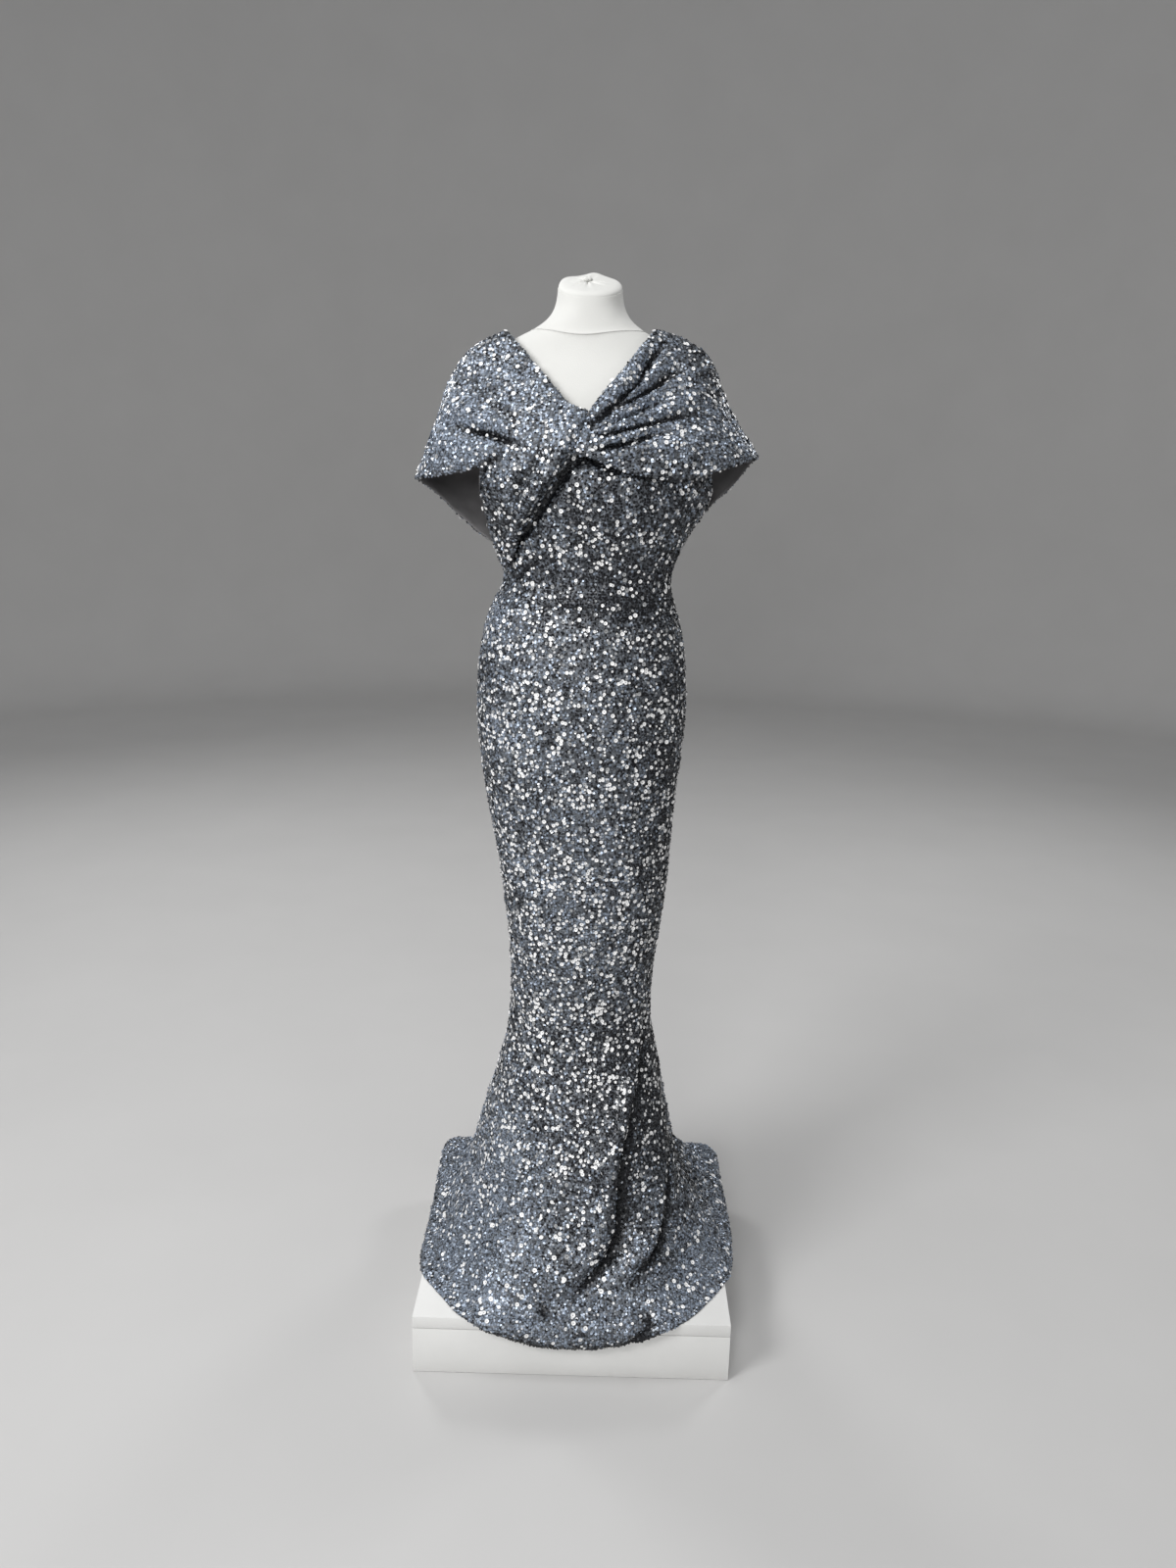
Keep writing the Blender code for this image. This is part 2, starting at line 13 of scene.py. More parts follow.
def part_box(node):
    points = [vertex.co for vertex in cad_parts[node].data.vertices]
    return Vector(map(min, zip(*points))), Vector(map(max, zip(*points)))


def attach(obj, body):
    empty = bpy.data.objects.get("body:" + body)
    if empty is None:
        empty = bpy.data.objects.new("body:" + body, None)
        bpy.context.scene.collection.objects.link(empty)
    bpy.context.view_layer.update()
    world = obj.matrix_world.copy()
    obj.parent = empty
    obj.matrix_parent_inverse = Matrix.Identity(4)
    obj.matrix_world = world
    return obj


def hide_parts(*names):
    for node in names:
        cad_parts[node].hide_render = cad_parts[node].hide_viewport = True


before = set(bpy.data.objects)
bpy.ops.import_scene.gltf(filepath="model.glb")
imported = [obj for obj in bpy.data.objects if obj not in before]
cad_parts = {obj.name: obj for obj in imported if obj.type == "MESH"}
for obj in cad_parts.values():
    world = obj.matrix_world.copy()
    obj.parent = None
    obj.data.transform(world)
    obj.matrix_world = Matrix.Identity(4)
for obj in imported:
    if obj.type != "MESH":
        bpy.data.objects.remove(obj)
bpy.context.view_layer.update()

# ========== studio
# A pale floor that turns up into a wall, a pale sky and six square lamps, which the sequins flash in. None of
# it belongs to the gown.

CAMERA_PLACE = (0.027, -1.840, 1.367)
CAMERA_YAW, CAMERA_PITCH, CAMERA_ROLL = math.radians(-0.66), math.radians(14.08), math.radians(1.19)
LENS_MM = 27.13
SKY, SKY_STRENGTH = (0.97, 0.985, 1.0), 0.36
FLOOR_TONE = (0.56, 0.555, 0.55)
COVE_RADIUS = 6.0
# How the floor turns up into the wall of the cove: height, and how much wider each ring is than the last.
COVE_RINGS = (
    (0.02, 1.035), (0.07, 1.03), (0.15, 1.025), (0.25, 1.018), (0.35, 1.010), (0.45, 1.004), (5.0, 1.0),
)
LIT_HEIGHT = 0.95  # the lamps are turned to the middle of the gown


def deselect():
    bpy.ops.object.select_all(action="DESELECT")


def enter_mode(name):
    bpy.ops.object.mode_set(mode=name)


def lamp(name, place, size, watts):
    bpy.ops.object.light_add(type="AREA", location=place)
    light = bpy.context.object
    light.name = name
    light.data.size = size
    light.data.energy = watts
    turned = Vector((0, 0, LIT_HEIGHT)) - Vector(place)
    light.rotation_euler = turned.to_track_quat("-Z", "Y").to_euler()


def set_inputs(node, **values):
    """Sets a node's inputs by name, with _ for each space, and returns the node."""
    for name, value in values.items():
        node.inputs[name.replace("_", " ")].default_value = value
    return node


def start_material(name, roughness, metallic=0.0, **others):
    """A new material, its nodes, its links and its shader."""
    material = bpy.data.materials.new(name)
    material.use_nodes = True
    nodes, links = material.node_tree.nodes, material.node_tree.links
    shader = set_inputs(nodes["Principled BSDF"], Roughness=roughness, Metallic=metallic, **others)
    return material, nodes, links, shader


def object_noise(nodes, links, scale, detail=3.0, stretch=(1, 1, 1)):
    """Noise that stays put on the piece; stretch draws it out along an axis."""
    coordinates = nodes.new("ShaderNodeTexCoord")
    mapping = set_inputs(nodes.new("ShaderNodeMapping"), Scale=stretch)
    noise = set_inputs(nodes.new("ShaderNodeTexNoise"), Scale=scale, Detail=detail)
    links.new(coordinates.outputs["Object"], mapping.inputs["Vector"])
    links.new(mapping.outputs["Vector"], noise.inputs["Vector"])
    return noise


def ramp(nodes, links, source, *stops):
    """A colour ramp of (place, colour) stops, fed by a socket."""
    node = nodes.new("ShaderNodeValToRGB")
    elements = node.color_ramp.elements
    while len(elements) < len(stops):
        elements.new(0.5)
    for element, (place, colour) in zip(elements, stops):
        element.position = place
        element.color = (*colour, 1.0)
    links.new(source, node.inputs["Fac"])
    return node


def mottle(nodes, links, shader, tones, scale, detail=3.0, stretch=(1, 1, 1)):
    """Colours a material with noise between two tones, and returns the noise."""
    noise = object_noise(nodes, links, scale, detail, stretch)
    tone = ramp(nodes, links, noise.outputs["Fac"], (0.3, tones[0]), (0.7, tones[1]))
    links.new(tone.outputs["Color"], shader.inputs["Base Color"])
    return noise


def floor_finish():
    material, nodes, links, shader = start_material("studio_floor", 0.7)
    mottle(nodes, links, shader, (FLOOR_TONE, tuple(c * 1.03 for c in FLOOR_TONE)), 3.0)
    return material


bpy.ops.object.camera_add(location=CAMERA_PLACE)
camera = bpy.context.object
turned = Matrix.Rotation(-CAMERA_YAW, 3, "Z") @ Matrix.Rotation(math.pi / 2 - CAMERA_PITCH, 3, "X")
camera.rotation_euler = (turned @ Matrix.Rotation(CAMERA_ROLL, 3, "Z")).to_euler()
camera.data.lens = LENS_MM
bpy.context.scene.camera = camera

deselect()
bpy.ops.mesh.primitive_circle_add(radius=COVE_RADIUS, vertices=96, fill_type="NGON", location=(0, 0, -0.0005))
floor = bpy.context.object
floor.name = "studio_floor"
enter_mode("EDIT")
for rise, widen in COVE_RINGS:
    bpy.ops.mesh.extrude_edges_move(TRANSFORM_OT_translate={"value": (0, 0, rise)})
    bpy.ops.transform.resize(value=(widen, widen, 1), center_override=(0, 0, 0))
bpy.ops.mesh.select_all(action="SELECT")
bpy.ops.mesh.normals_make_consistent(inside=True)
enter_mode("OBJECT")
bpy.ops.object.shade_smooth()
floor.data.materials.append(floor_finish())

world = bpy.data.worlds.new("studio_sky")
bpy.context.scene.world = world
world.use_nodes = True
set_inputs(world.node_tree.nodes["Background"], Color=(*SKY, 1.0), Strength=SKY_STRENGTH)
bpy.context.scene.view_settings.view_transform = "Standard"

lamp("key_left", (-2.3, -2.2, 2.9), 1.2, 78)
lamp("front", (-0.5, -3.4, 1.9), 0.8, 36)
lamp("right", (2.8, -1.6, 2.2), 0.6, 4)
lamp("top", (-0.5, -0.5, 3.8), 1.0, 22)
lamp("back_left", (-2.0, 2.8, 2.8), 0.9, 34)
lamp("back_right", (2.4, 2.4, 2.6), 0.9, 26)

# ========== plinth
# A display plinth of white melamine-faced board: a 20 mm top on four 18 mm sides, glued and pinned from
# inside. The edges are banded, and eased by hand so that they don't catch the cloth.

EASED = 0.0005
SEAM_SHADOW = 0.0011  # the side boards stop this much further under the top
MELAMINE = (0.775, 0.775, 0.76)
MELAMINE_WORN = (0.66, 0.655, 0.64)
SCUFFED_HEIGHT = 0.022


def bump(nodes, links, shader, height, distance, strength):
    node = set_inputs(nodes.new("ShaderNodeBump"), Distance=distance, Strength=strength)
    links.new(height, node.inputs["Height"])
    links.new(node.outputs["Normal"], shader.inputs["Normal"])


def melamine():
    material, nodes, links, shader = start_material("white_melamine", 0.42, Specular_IOR_Level=0.45)
    coordinates = nodes.new("ShaderNodeTexCoord")
    parts = nodes.new("ShaderNodeSeparateXYZ")
    links.new(coordinates.outputs["Object"], parts.inputs["Vector"])
    smudges = object_noise(nodes, links, 9.0, 5.0)
    smudged = tuple(c * 0.95 for c in MELAMINE)
    smear = ramp(nodes, links, smudges.outputs["Fac"], (0.35, smudged), (0.6, MELAMINE))
    # the foot of the boards is scuffed where the plinth has been pushed along
    scuffs = object_noise(nodes, links, 60.0, 4.0, (1, 1, 3))
    low = set_inputs(nodes.new("ShaderNodeMapRange"), From_Min=SCUFFED_HEIGHT, From_Max=0.0)
    links.new(parts.outputs["Z"], low.inputs["Value"])
    share = nodes.new("ShaderNodeMath")
    share.operation = "MULTIPLY"
    links.new(low.outputs["Result"], share.inputs[0])
    links.new(scuffs.outputs["Fac"], share.inputs[1])
    worn = nodes.new("ShaderNodeMix")
    worn.data_type = "RGBA"
    worn.inputs["B"].default_value = (*MELAMINE_WORN, 1.0)
    links.new(share.outputs["Value"], worn.inputs["Factor"])
    links.new(smear.outputs["Color"], worn.inputs["A"])
    links.new(worn.outputs["Result"], shader.inputs["Base Color"])
    peel = object_noise(nodes, links, 420.0, 2.0)
    bump(nodes, links, shader, peel.outputs["Fac"], 0.0002, 0.25)
    return material


def cut_board(node, material):
    low, high = (Vector(corner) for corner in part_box(node))
    if low.z < 0.01:
        high.z -= SEAM_SHADOW
    deselect()
    bpy.ops.mesh.primitive_cube_add(size=1, location=(low + high) / 2)
    board = bpy.context.object
    board.name = board.data.name = node + "_board"
    board.scale = high - low
    bpy.ops.object.transform_apply()
    enter_mode("EDIT")
    bpy.ops.mesh.select_all(action="SELECT")
    bpy.ops.mesh.bevel(offset=EASED, segments=2, affect="EDGES")
    enter_mode("OBJECT")
    bpy.ops.object.shade_smooth_by_angle(angle=math.radians(30))
    board.data.materials.append(material)
    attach(board, "root")
    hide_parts(node)


white_board = melamine()
for board_node in ("plinth_front", "plinth_back", "plinth_left", "plinth_right", "plinth_top"):
    cut_board(board_node, white_board)

# ========== stand
# A pressed steel disc and a steel tube, brushed and lacquered. The skirt hides them; the solids are right as
# they are and only take their finish here.

STEEL_TONES = (0.42, 0.42, 0.43), (0.62, 0.62, 0.63)


def brushed_steel():
    material, nodes, links, shader = start_material("brushed_steel", 0.34, 1.0)
    strokes = mottle(nodes, links, shader, STEEL_TONES, 35.0, 4.0, (1, 1, 14))
    bump(nodes, links, shader, strokes.outputs["Fac"], 0.0003, 0.3)
    return material


steel = brushed_steel()
for stand_node in ("stand_base", "stand_pole"):
    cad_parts[stand_node].material_slots[0].material = steel

# ========== dress form
# A moulded torso and neck with padding, covered in white cotton jersey. The neck's cover is a separate tube
# that overlaps the torso's at a turned edge, and it is gathered over the top and tied off in a small knot.

AXIS_X = -0.005  # the form's own axis
# The neck's cover laps over the torso's: how far down at its lowest, in front, and at the sides, then each
# row's share of that and its height off the torso.
LAP_FRONT, LAP_SIDE, LAP_LOWEST_X, LAP_WIDTH = 0.0090, 0.0012, -0.015, 0.045
LAP_ROWS = ((0.45, 0.0006), (0.35, 0.0010), (0.14, 0.0022), (0.06, 0.0022), (0.06, 0.0009), (0.02, -0.0006))
MERGE, FLAT_SLACK = 2e-5, 1e-6  # points this near are one, and a flat end's faces are this nearly alike
NECK_LEAN = 0.42  # the neck's top falls this much towards the front
CAP_TUCK, CAP_TUCKED = 0.0030, 0.985  # the gathered top's lower edge runs down inside the neck's cover
CAP_RINGS = ((0.80, 0.0002), (0.70, 0.0), (0.6, -0.0006), (0.4, -0.0008))  # it closes in: shrink, rise
CAP_PADDING = ((-0.001, 0.036, 0.014, 0.0045), (-0.040, 0.012, 0.018, 0.0030))  # x, y, width and rise
# The gathers' height, where they run, and the ring that the knot draws up round itself.
GATHER_RISE, GATHERED_FROM, GATHERED_TO, KNOT_RING = 0.0011, 0.004, 0.034, 0.011
KNOT_X, KNOT_PLEATED = -0.010, 0.26
JERSEY = (0.675, 0.675, 0.652)


def jersey():
    material, nodes, links, shader = start_material("white_jersey", 0.85, Sheen_Weight=0.15)
    mottle(nodes, links, shader, (tuple(c * 0.95 for c in JERSEY), JERSEY), 14.0, 4.0)
    knit = object_noise(nodes, links, 900.0, 2.0, (1, 1, 0.45))
    bump(nodes, links, shader, knit.outputs["Fac"], 0.0004, 0.35)
    return material


def take_up(piece):
    deselect()
    bpy.context.view_layer.objects.active = piece
    piece.select_set(True)


def adopt_mesh(shape, name):
    """Takes a bmesh into the scene as a new smooth piece."""
    mesh = bpy.data.meshes.new(name)
    shape.to_mesh(mesh)
    shape.free()
    mesh.shade_smooth()
    piece = bpy.data.objects.new(name, mesh)
    bpy.context.collection.objects.link(piece)
    take_up(piece)
    return piece


def apply_modifier(piece, kind, **settings):
    take_up(piece)
    modifier = piece.modifiers.new(kind.lower(), kind)
    for key, value in settings.items():
        setattr(modifier, key, value)
    bpy.ops.object.modifier_apply(modifier=modifier.name)


def subdivide_smooth(piece, levels):
    apply_modifier(piece, "SUBSURF", levels=levels, render_levels=levels, boundary_smooth="PRESERVE_CORNERS")


def merged(node):
    shape = bmesh.new()
    shape.from_mesh(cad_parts[node].data)
    bmesh.ops.remove_doubles(shape, verts=shape.verts, dist=MERGE)
    return shape


def join_to_quads(shape):
    wide = math.radians(100)
    bmesh.ops.join_triangles(
        shape, faces=shape.faces, angle_face_threshold=wide, angle_shape_threshold=wide,
    )


def read(values, name, size=3, kind=float):
    flat = np.empty(len(values) * size, kind)
    values.foreach_get(name, flat)
    return flat.reshape(-1, size)


def read_points(mesh):
    return read(mesh.vertices, "co")


def write_points(mesh, points):
    mesh.vertices.foreach_set("co", points.ravel())
    mesh.update()


def close_ends(piece):
    take_up(piece)
    enter_mode("EDIT")
    bpy.ops.mesh.select_all(action="SELECT")
    bpy.ops.mesh.fill_holes(sides=0)
    bpy.ops.mesh.select_all(action="SELECT")
    bpy.ops.mesh.normals_make_consistent()
    enter_mode("OBJECT")
    bpy.ops.object.shade_smooth_by_angle(angle=math.radians(50))


def cover_form(node, name, levels):
    """A smooth copy of one of the form's solids without its flat ends, which are closed afterwards."""
    shape = merged(node)
    level, leaning_top = Vector((0, 0, 1)), Vector((0, -NECK_LEAN, 1)).normalized()
    flat = [
        face for face in shape.faces
        if max(abs(face.normal.dot(level)), abs(face.normal.dot(leaning_top))) > 1 - FLAT_SLACK
    ]
    bmesh.ops.delete(shape, geom=flat, context="FACES")
    join_to_quads(shape)
    piece = adopt_mesh(shape, name)
    subdivide_smooth(piece, levels)
    return piece


def settle_form(piece, node, material):
    piece.data.materials.clear()
    piece.data.materials.append(material)
    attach(piece, "root")
    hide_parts(node)


def lean_back(points, amount):
    """Tips the neck's sloping top level (amount -1) or back again (amount 1)."""
    return points + np.outer(points[:, 1], (0, 0, amount * NECK_LEAN))


def lap_over_torso(neck, torso):
    """Runs the neck's cover down over the torso's and turns its edge: lower in front than behind."""
    shape = bmesh.new()
    shape.from_mesh(neck.data)
    under = BVHTree.FromObject(torso, bpy.context.evaluated_depsgraph_get())
    bottom = min(v.co.z for v in shape.verts)
    edge = [e for e in shape.edges if e.is_boundary and all(v.co.z < bottom + MERGE for v in e.verts)]
    for reach, lift in LAP_ROWS:
        made = bmesh.ops.extrude_edge_only(shape, edges=edge)["geom"]
        edge = [e for e in made if isinstance(e, bmesh.types.BMEdge)]
        for vertex in (v for v in made if isinstance(v, bmesh.types.BMVert)):
            front = math.exp(-(((vertex.co.x - LAP_LOWEST_X) / LAP_WIDTH) ** 2)) if vertex.co.y < 0 else 0.0
            drop = reach * (LAP_SIDE + (LAP_FRONT - LAP_SIDE) * front)
            outwards = Vector((vertex.co.x - AXIS_X, vertex.co.y, 0)).normalized()
            wanted = vertex.co + outwards * drop * 0.5 - Vector((0, 0, drop))
            place, normal, _, _ = under.find_nearest(wanted)
            vertex.co = place + normal * lift * (0.35 + 0.65 * front)
    bmesh.ops.recalc_face_normals(shape, faces=shape.faces)
    shape.to_mesh(neck.data)
    shape.free()
    neck.data.shade_smooth()


white_jersey = jersey()
torso = cover_form("form_torso", "torso_cover", 2)
close_ends(torso)
settle_form(torso, "form_torso", white_jersey)

neck = cover_form("form_neck", "neck_cover", 2)
lap_over_torso(neck, torso)
close_ends(neck)
settle_form(neck, "form_neck", white_jersey)

cap = cover_form("form_neck_cap", "neck_gathers", 1)
cap_points = lean_back(read_points(cap.data), -1)
x, y, z = cap_points.T
cap_bottom, cap_top = z.min(), z.max()
lowest = z < cap_bottom + MERGE
z[lowest] -= CAP_TUCK
x[lowest] = AXIS_X + (x[lowest] - AXIS_X) * CAP_TUCKED
y[lowest] *= CAP_TUCKED
write_points(cap.data, cap_points)
enter_mode("EDIT")
bpy.ops.mesh.select_all(action="DESELECT")
enter_mode("OBJECT")
for vertex in cap.data.vertices:
    vertex.select = bool(vertex.co.z > cap_top - MERGE)
enter_mode("EDIT")
bpy.ops.mesh.select_mode(type="VERT")
for shrink, rise in CAP_RINGS:
    bpy.ops.mesh.extrude_region_move(TRANSFORM_OT_translate={"value": (0, 0, rise)})
    bpy.ops.transform.resize(value=(shrink, shrink, 1), center_override=(KNOT_X, 0, 0))
bpy.ops.mesh.edge_face_add()
enter_mode("OBJECT")
subdivide_smooth(cap, 1)
cap_points = read_points(cap.data)
x, y, z = cap_points.T
around, reach = np.arctan2(y, x - KNOT_X), np.hypot(x - KNOT_X, y)
gathers = np.sin(9 * around + 1.3 * np.sin(2 * around)) + 0.6 * np.sin(14 * around + 0.7)
gathered = np.clip(reach / GATHERED_FROM, 0, 1) * np.clip((GATHERED_TO - reach) / 0.022, 0, 1)
z += GATHER_RISE * gathers * gathered
z += 0.0008 * np.exp(-(((reach - KNOT_RING) / 0.004) ** 2))
# the padding stands up behind the knot and at the left
for pad_x, pad_y, width, rise in CAP_PADDING:
    spot = np.hypot(x - pad_x, y - pad_y) / width
    z += rise * np.exp(-(spot**2)) * np.clip((z - cap_bottom) / 0.006, 0, 1)
write_points(cap.data, lean_back(cap_points, 1))
close_ends(cap)
settle_form(cap, "form_neck_cap", white_jersey)

knot_low, knot_high = (Vector(corner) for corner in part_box("form_neck_knot"))
deselect()
bpy.ops.mesh.primitive_uv_sphere_add(segments=40, ring_count=20, radius=0.5)
knot = bpy.context.object
knot.name = knot.data.name = "neck_knot"
knot_points = read_points(knot.data)
x, y, z = knot_points.T
pleats = 1 + KNOT_PLEATED * np.sin(6 * np.arctan2(y, x) + 5 * z) * np.hypot(x, y)
knot_points[:, :2] *= pleats[:, None] * 0.9
write_points(knot.data, knot_points)
knot.scale = knot_high - knot_low
knot.location = (knot_low + knot_high) / 2
bpy.ops.object.transform_apply()
bpy.ops.object.shade_smooth()
settle_form(knot, "form_neck_knot", white_jersey)

# ========== fishtail skirt
# One front and two backs of stretch net, sewn all over with loose cup sequins and joined at side seams and a
# centre back seam. It fits to the knee and flares into a pool that lies on the plinth and hangs over it.

CAD_WALL, CAD_WALL_SLACK = 0.002, 4e-6  # an edge this long crosses a cloth solid's wall
CLOTH = 0.0011
SEQUIN_ROOM = 0.0008  # the net lies this far inside the solid's face, which stands for the sequins' tops
PLINTH_TOP, PLINTH_HALF = 0.100, 0.250
FOLD_RADIUS = 0.16  # the folds' azimuths are turned into metres at this radius
A_DEGREE, A_MM = math.radians(1) * FOLD_RADIUS, 0.001
# The folds' valleys are painted with shade in the cloth's colour; how much of it:
DEEP, NARROW = 0.007, 0.008  # a hollow this deep and no broader than this is fully shaded
RUMPLES, RUMPLED = (0.040, 0.034, 0.029, 0.025), 0.0016  # the net's small unevenness: lengths and size
# Stitched edges: how wide each is, how far it is drawn in, and how much painted shade it takes there.
HEM = (0.012, 0.004, 1.0)
SEAM = (0.004, 0.0008, 0.12)
HEM_HIGHEST = 0.14
# The hem's painted shade: a hem lying on the plinth takes this share of it, one hanging this far below the
# top all.
LYING_HEM, HANGING_DROP = 0.15, 0.012  # a lying hem's share of the dark, and how far down it has all of it
OFF_FORM, OFF_BOARD = CLOTH + 0.0004, 0.0003
PARTING = 0.5  # the height that parts the skirt's sequins into two pieces


def net():
    """Dark stretch net in small cells of random tone, with painted shade where it is folded into a valley or
    drawn in.
    """
    material, nodes, links, shader = start_material("sequinned_net", 0.45, 0.2)
    coordinates = nodes.new("ShaderNodeTexCoord")
    cells = set_inputs(nodes.new("ShaderNodeTexVoronoi"), Scale=420.0)
    links.new(coordinates.outputs["Object"], cells.inputs["Vector"])
    tone = nodes.new("ShaderNodeSeparateColor")
    links.new(cells.outputs["Color"], tone.inputs["Color"])
    colour = ramp(
        nodes, links, tone.outputs["Red"],
        (0.0, (0.02, 0.022, 0.026)), (0.35, (0.07, 0.077, 0.090)), (0.75, (0.13, 0.143, 0.165)),
        (1.0, (0.22, 0.24, 0.275)),
    )
    # painted shade: the net is darkened where the cloth is folded into a valley or drawn in at an edge
    painted_shade = nodes.new("ShaderNodeAttribute")
    painted_shade.attribute_name = "painted_shade"
    shade = ramp(
        nodes, links, painted_shade.outputs["Fac"],
        (0.0, (1, 1, 1)), (0.35, (0.6, 0.6, 0.6)), (1.0, (0.12, 0.12, 0.13)),
    )
    dark = nodes.new("ShaderNodeMix")
    dark.data_type = "RGBA"
    dark.blend_type = "MULTIPLY"
    dark.inputs["Factor"].default_value = 1.0
    links.new(colour.outputs["Color"], dark.inputs["A"])
    links.new(shade.outputs["Color"], dark.inputs["B"])
    links.new(dark.outputs["Result"], shader.inputs["Base Color"])
    bump(nodes, links, shader, tone.outputs["Green"], 0.0010, 0.8)
    return material


def lining():
    """The wrong side: plain dark grey stretch lining."""
    material, nodes, links, shader = start_material("dark_lining", 0.8, Sheen_Weight=0.2)
    mottle(nodes, links, shader, ((0.125, 0.122, 0.125), (0.185, 0.18, 0.184)), 30.0, 4.0)
    knit = object_noise(nodes, links, 1400.0, 1.0)
    bump(nodes, links, shader, knit.outputs["Fac"], 0.0003, 0.4)
    return material


# Sequins: each finish's share in the usual mix, in the pale mix that is painted light and in the darkest mix,
# which is mostly painted shade, then its colour, roughness and metal. The last two are the larger ones, clear
# and pearl, that are sewn over the others.
SEQUIN_FINISHES = (
    # small white sequins whose white is a painted glint, bright under any lamp
    ("small_glint", 0.025, 0.015, 0.0, (0.86, 0.87, 0.90), 0.25, 0.2),
    ("ice", 0.035, 0.12, 0.0, (0.44, 0.49, 0.57), 0.32, 0.5),
    ("silver_blue", 0.180, 0.665, 0.0, (0.29, 0.34, 0.42), 0.34, 0.5),
    ("steel_blue", 0.335, 0.17, 0.02, (0.18, 0.198, 0.222), 0.34, 0.5),
    ("slate", 0.205, 0.02, 0.10, (0.09, 0.097, 0.108), 0.32, 0.5),
    # near black: the darkest mix is nearly all of these as painted shade; the usual mix has some as dark
    # flecks
    ("smoke_and_shade", 0.220, 0.01, 0.88, (0.014, 0.015, 0.018), 0.22, 0.4),
    # the clear ones are white as a painted glint, bright under any lamp
    ("clear", 0.0, 0.0, 0.0, (0.97, 0.97, 0.97), 0.25, 0.1),
    ("pearl", 0.0, 0.0, 0.0, (0.42, 0.43, 0.44), 0.20, 0.3),
)


def hold_points(piece):
    """Moves a coarse face's points out by as much as smoothing will draw them in."""
    coarse = read_points(piece.data)
    trial = piece.copy()
    trial.data = piece.data.copy()
    bpy.context.collection.objects.link(trial)
    subdivide_smooth(trial, 3)
    drawn_in = read_points(trial.data)[:len(coarse)]
    bpy.data.meshes.remove(trial.data)  # and the trial with it
    write_points(piece.data, 2 * coarse - drawn_in)


def outer_face(node, name, levels, held=True):
    """A smooth copy of a cloth solid's outer face, held to the solid's own points or drawn in a little."""
    shape = merged(node)
    rim = [
        face for face in shape.faces
        if any(abs(edge.calc_length() - CAD_WALL) < CAD_WALL_SLACK for edge in face.edges)
    ]
    bmesh.ops.delete(shape, geom=rim, context="FACES")
    shape.faces.ensure_lookup_table()
    first, to_do = set(), [shape.faces[0]]
    while to_do:
        face = to_do.pop()
        if face not in first:
            first.add(face)
            to_do += [other for edge in face.edges for other in edge.link_faces]
    outwards = 0.0
    for face in first:
        middle = face.calc_center_median()
        outwards += face.normal.dot(middle - Vector((AXIS_X, 0, middle.z))) * face.calc_area()
    spare = [face for face in shape.faces if (face in first) != (outwards > 0)]
    bmesh.ops.delete(shape, geom=spare, context="FACES")
    join_to_quads(shape)
    piece = adopt_mesh(shape, name)
    if held:
        hold_points(piece)
    subdivide_smooth(piece, levels)
    return piece


def fold(*rows, sides=(1.0, 1.0)):
    """A ridge or, below 0, a valley: rows of (place across, height, push, width, lean), in mm.

    The place across is in degrees round the axis on the skirt and the bodice. A lean, which may be left out,
    is towards the right of the rows' direction. The sides widen the fold on its left and its right. A valley
    is painted with shade, the more the narrower it is, and a ridge is painted paler as a highlight.
    """
    return [(*row, 0)[:5] for row in rows], sides


def fold_moves(places, rows, sides):
    """One fold's move of each place (across, up): out, across and up, and its painted shade or highlight."""
    best, moves = np.full(len(places), np.inf), np.zeros((4, len(places)))
    for start, end in zip(rows[:-1], rows[1:]):
        step = end[:2] - start[:2]
        share = np.clip((places - start[:2]) @ step / (step @ step), 0, 1)
        away = places - start[:2] - share[:, None] * step
        distance = np.hypot(*away.T)
        left_side = step[0] * away[:, 1] - step[1] * away[:, 0] > 0
        here = start + share[:, None] * (end - start)
        width = here[:, 3] * np.where(left_side, sides[0], sides[1])
        profile = np.exp(-((distance / width) ** 2))
        push, lean = here[:, 2] * profile, here[:, 4] * profile / np.hypot(*step)
        # painted shade for a valley, or below 0 a painted highlight for a ridge; narrow valleys take more
        shade = -push * np.minimum(1, NARROW / here[:, 3]) ** 2 / DEEP
        nearer = distance < best
        moves[:, nearer] = np.array((push, lean * step[1], -lean * step[0], shade))[:, nearer]
        best[nearer] = distance[nearer]
    return moves


def waves(points, seed, lengths, size):
    """A slow unevenness all over the cloth."""
    draw = np.random.default_rng(seed)
    total = np.zeros(len(points))
    for length in lengths:
        way = draw.normal(size=3)
        way *= 2 * math.pi / length / np.linalg.norm(way)
        total += np.sin(points @ way + draw.uniform(0, 2 * math.pi))
    return total * size / len(lengths)


def read_normals(mesh):
    return read(mesh.vertex_normals, "vector")


def press_folds(piece, flatten, across_unit, folds, uneven=0.0012):
    """Moves the cloth by all its folds, and keeps the shade painted on each point, or the highlight on a
    crest.
    """
    points, normals = read_points(piece.data), read_normals(piece.data)
    places, way_across = flatten(points)
    units = (across_unit, A_MM, A_MM, A_MM, A_MM)
    push, across, up, shade = sum(fold_moves(places, np.array(rows) * units, sides) for rows, sides in folds)
    # the painted shade is kept on the cloth for the net's colour and the sequins' mix
    painted_shade = piece.data.attributes.new("painted_shade", "FLOAT", "POINT")
    painted_shade.data.foreach_set("value", np.clip(shade, -1, 1))
    move = way_across * across[:, None] + np.outer(up, (0, 0, 1))
    move -= (move * normals).sum(1)[:, None] * normals
    push += waves(points, 5, (0.16, 0.11, 0.07, 0.05), uneven) + waves(points, 6, RUMPLES, RUMPLED)
    push -= SEQUIN_ROOM
    write_points(piece.data, points + normals * push[:, None] + move)


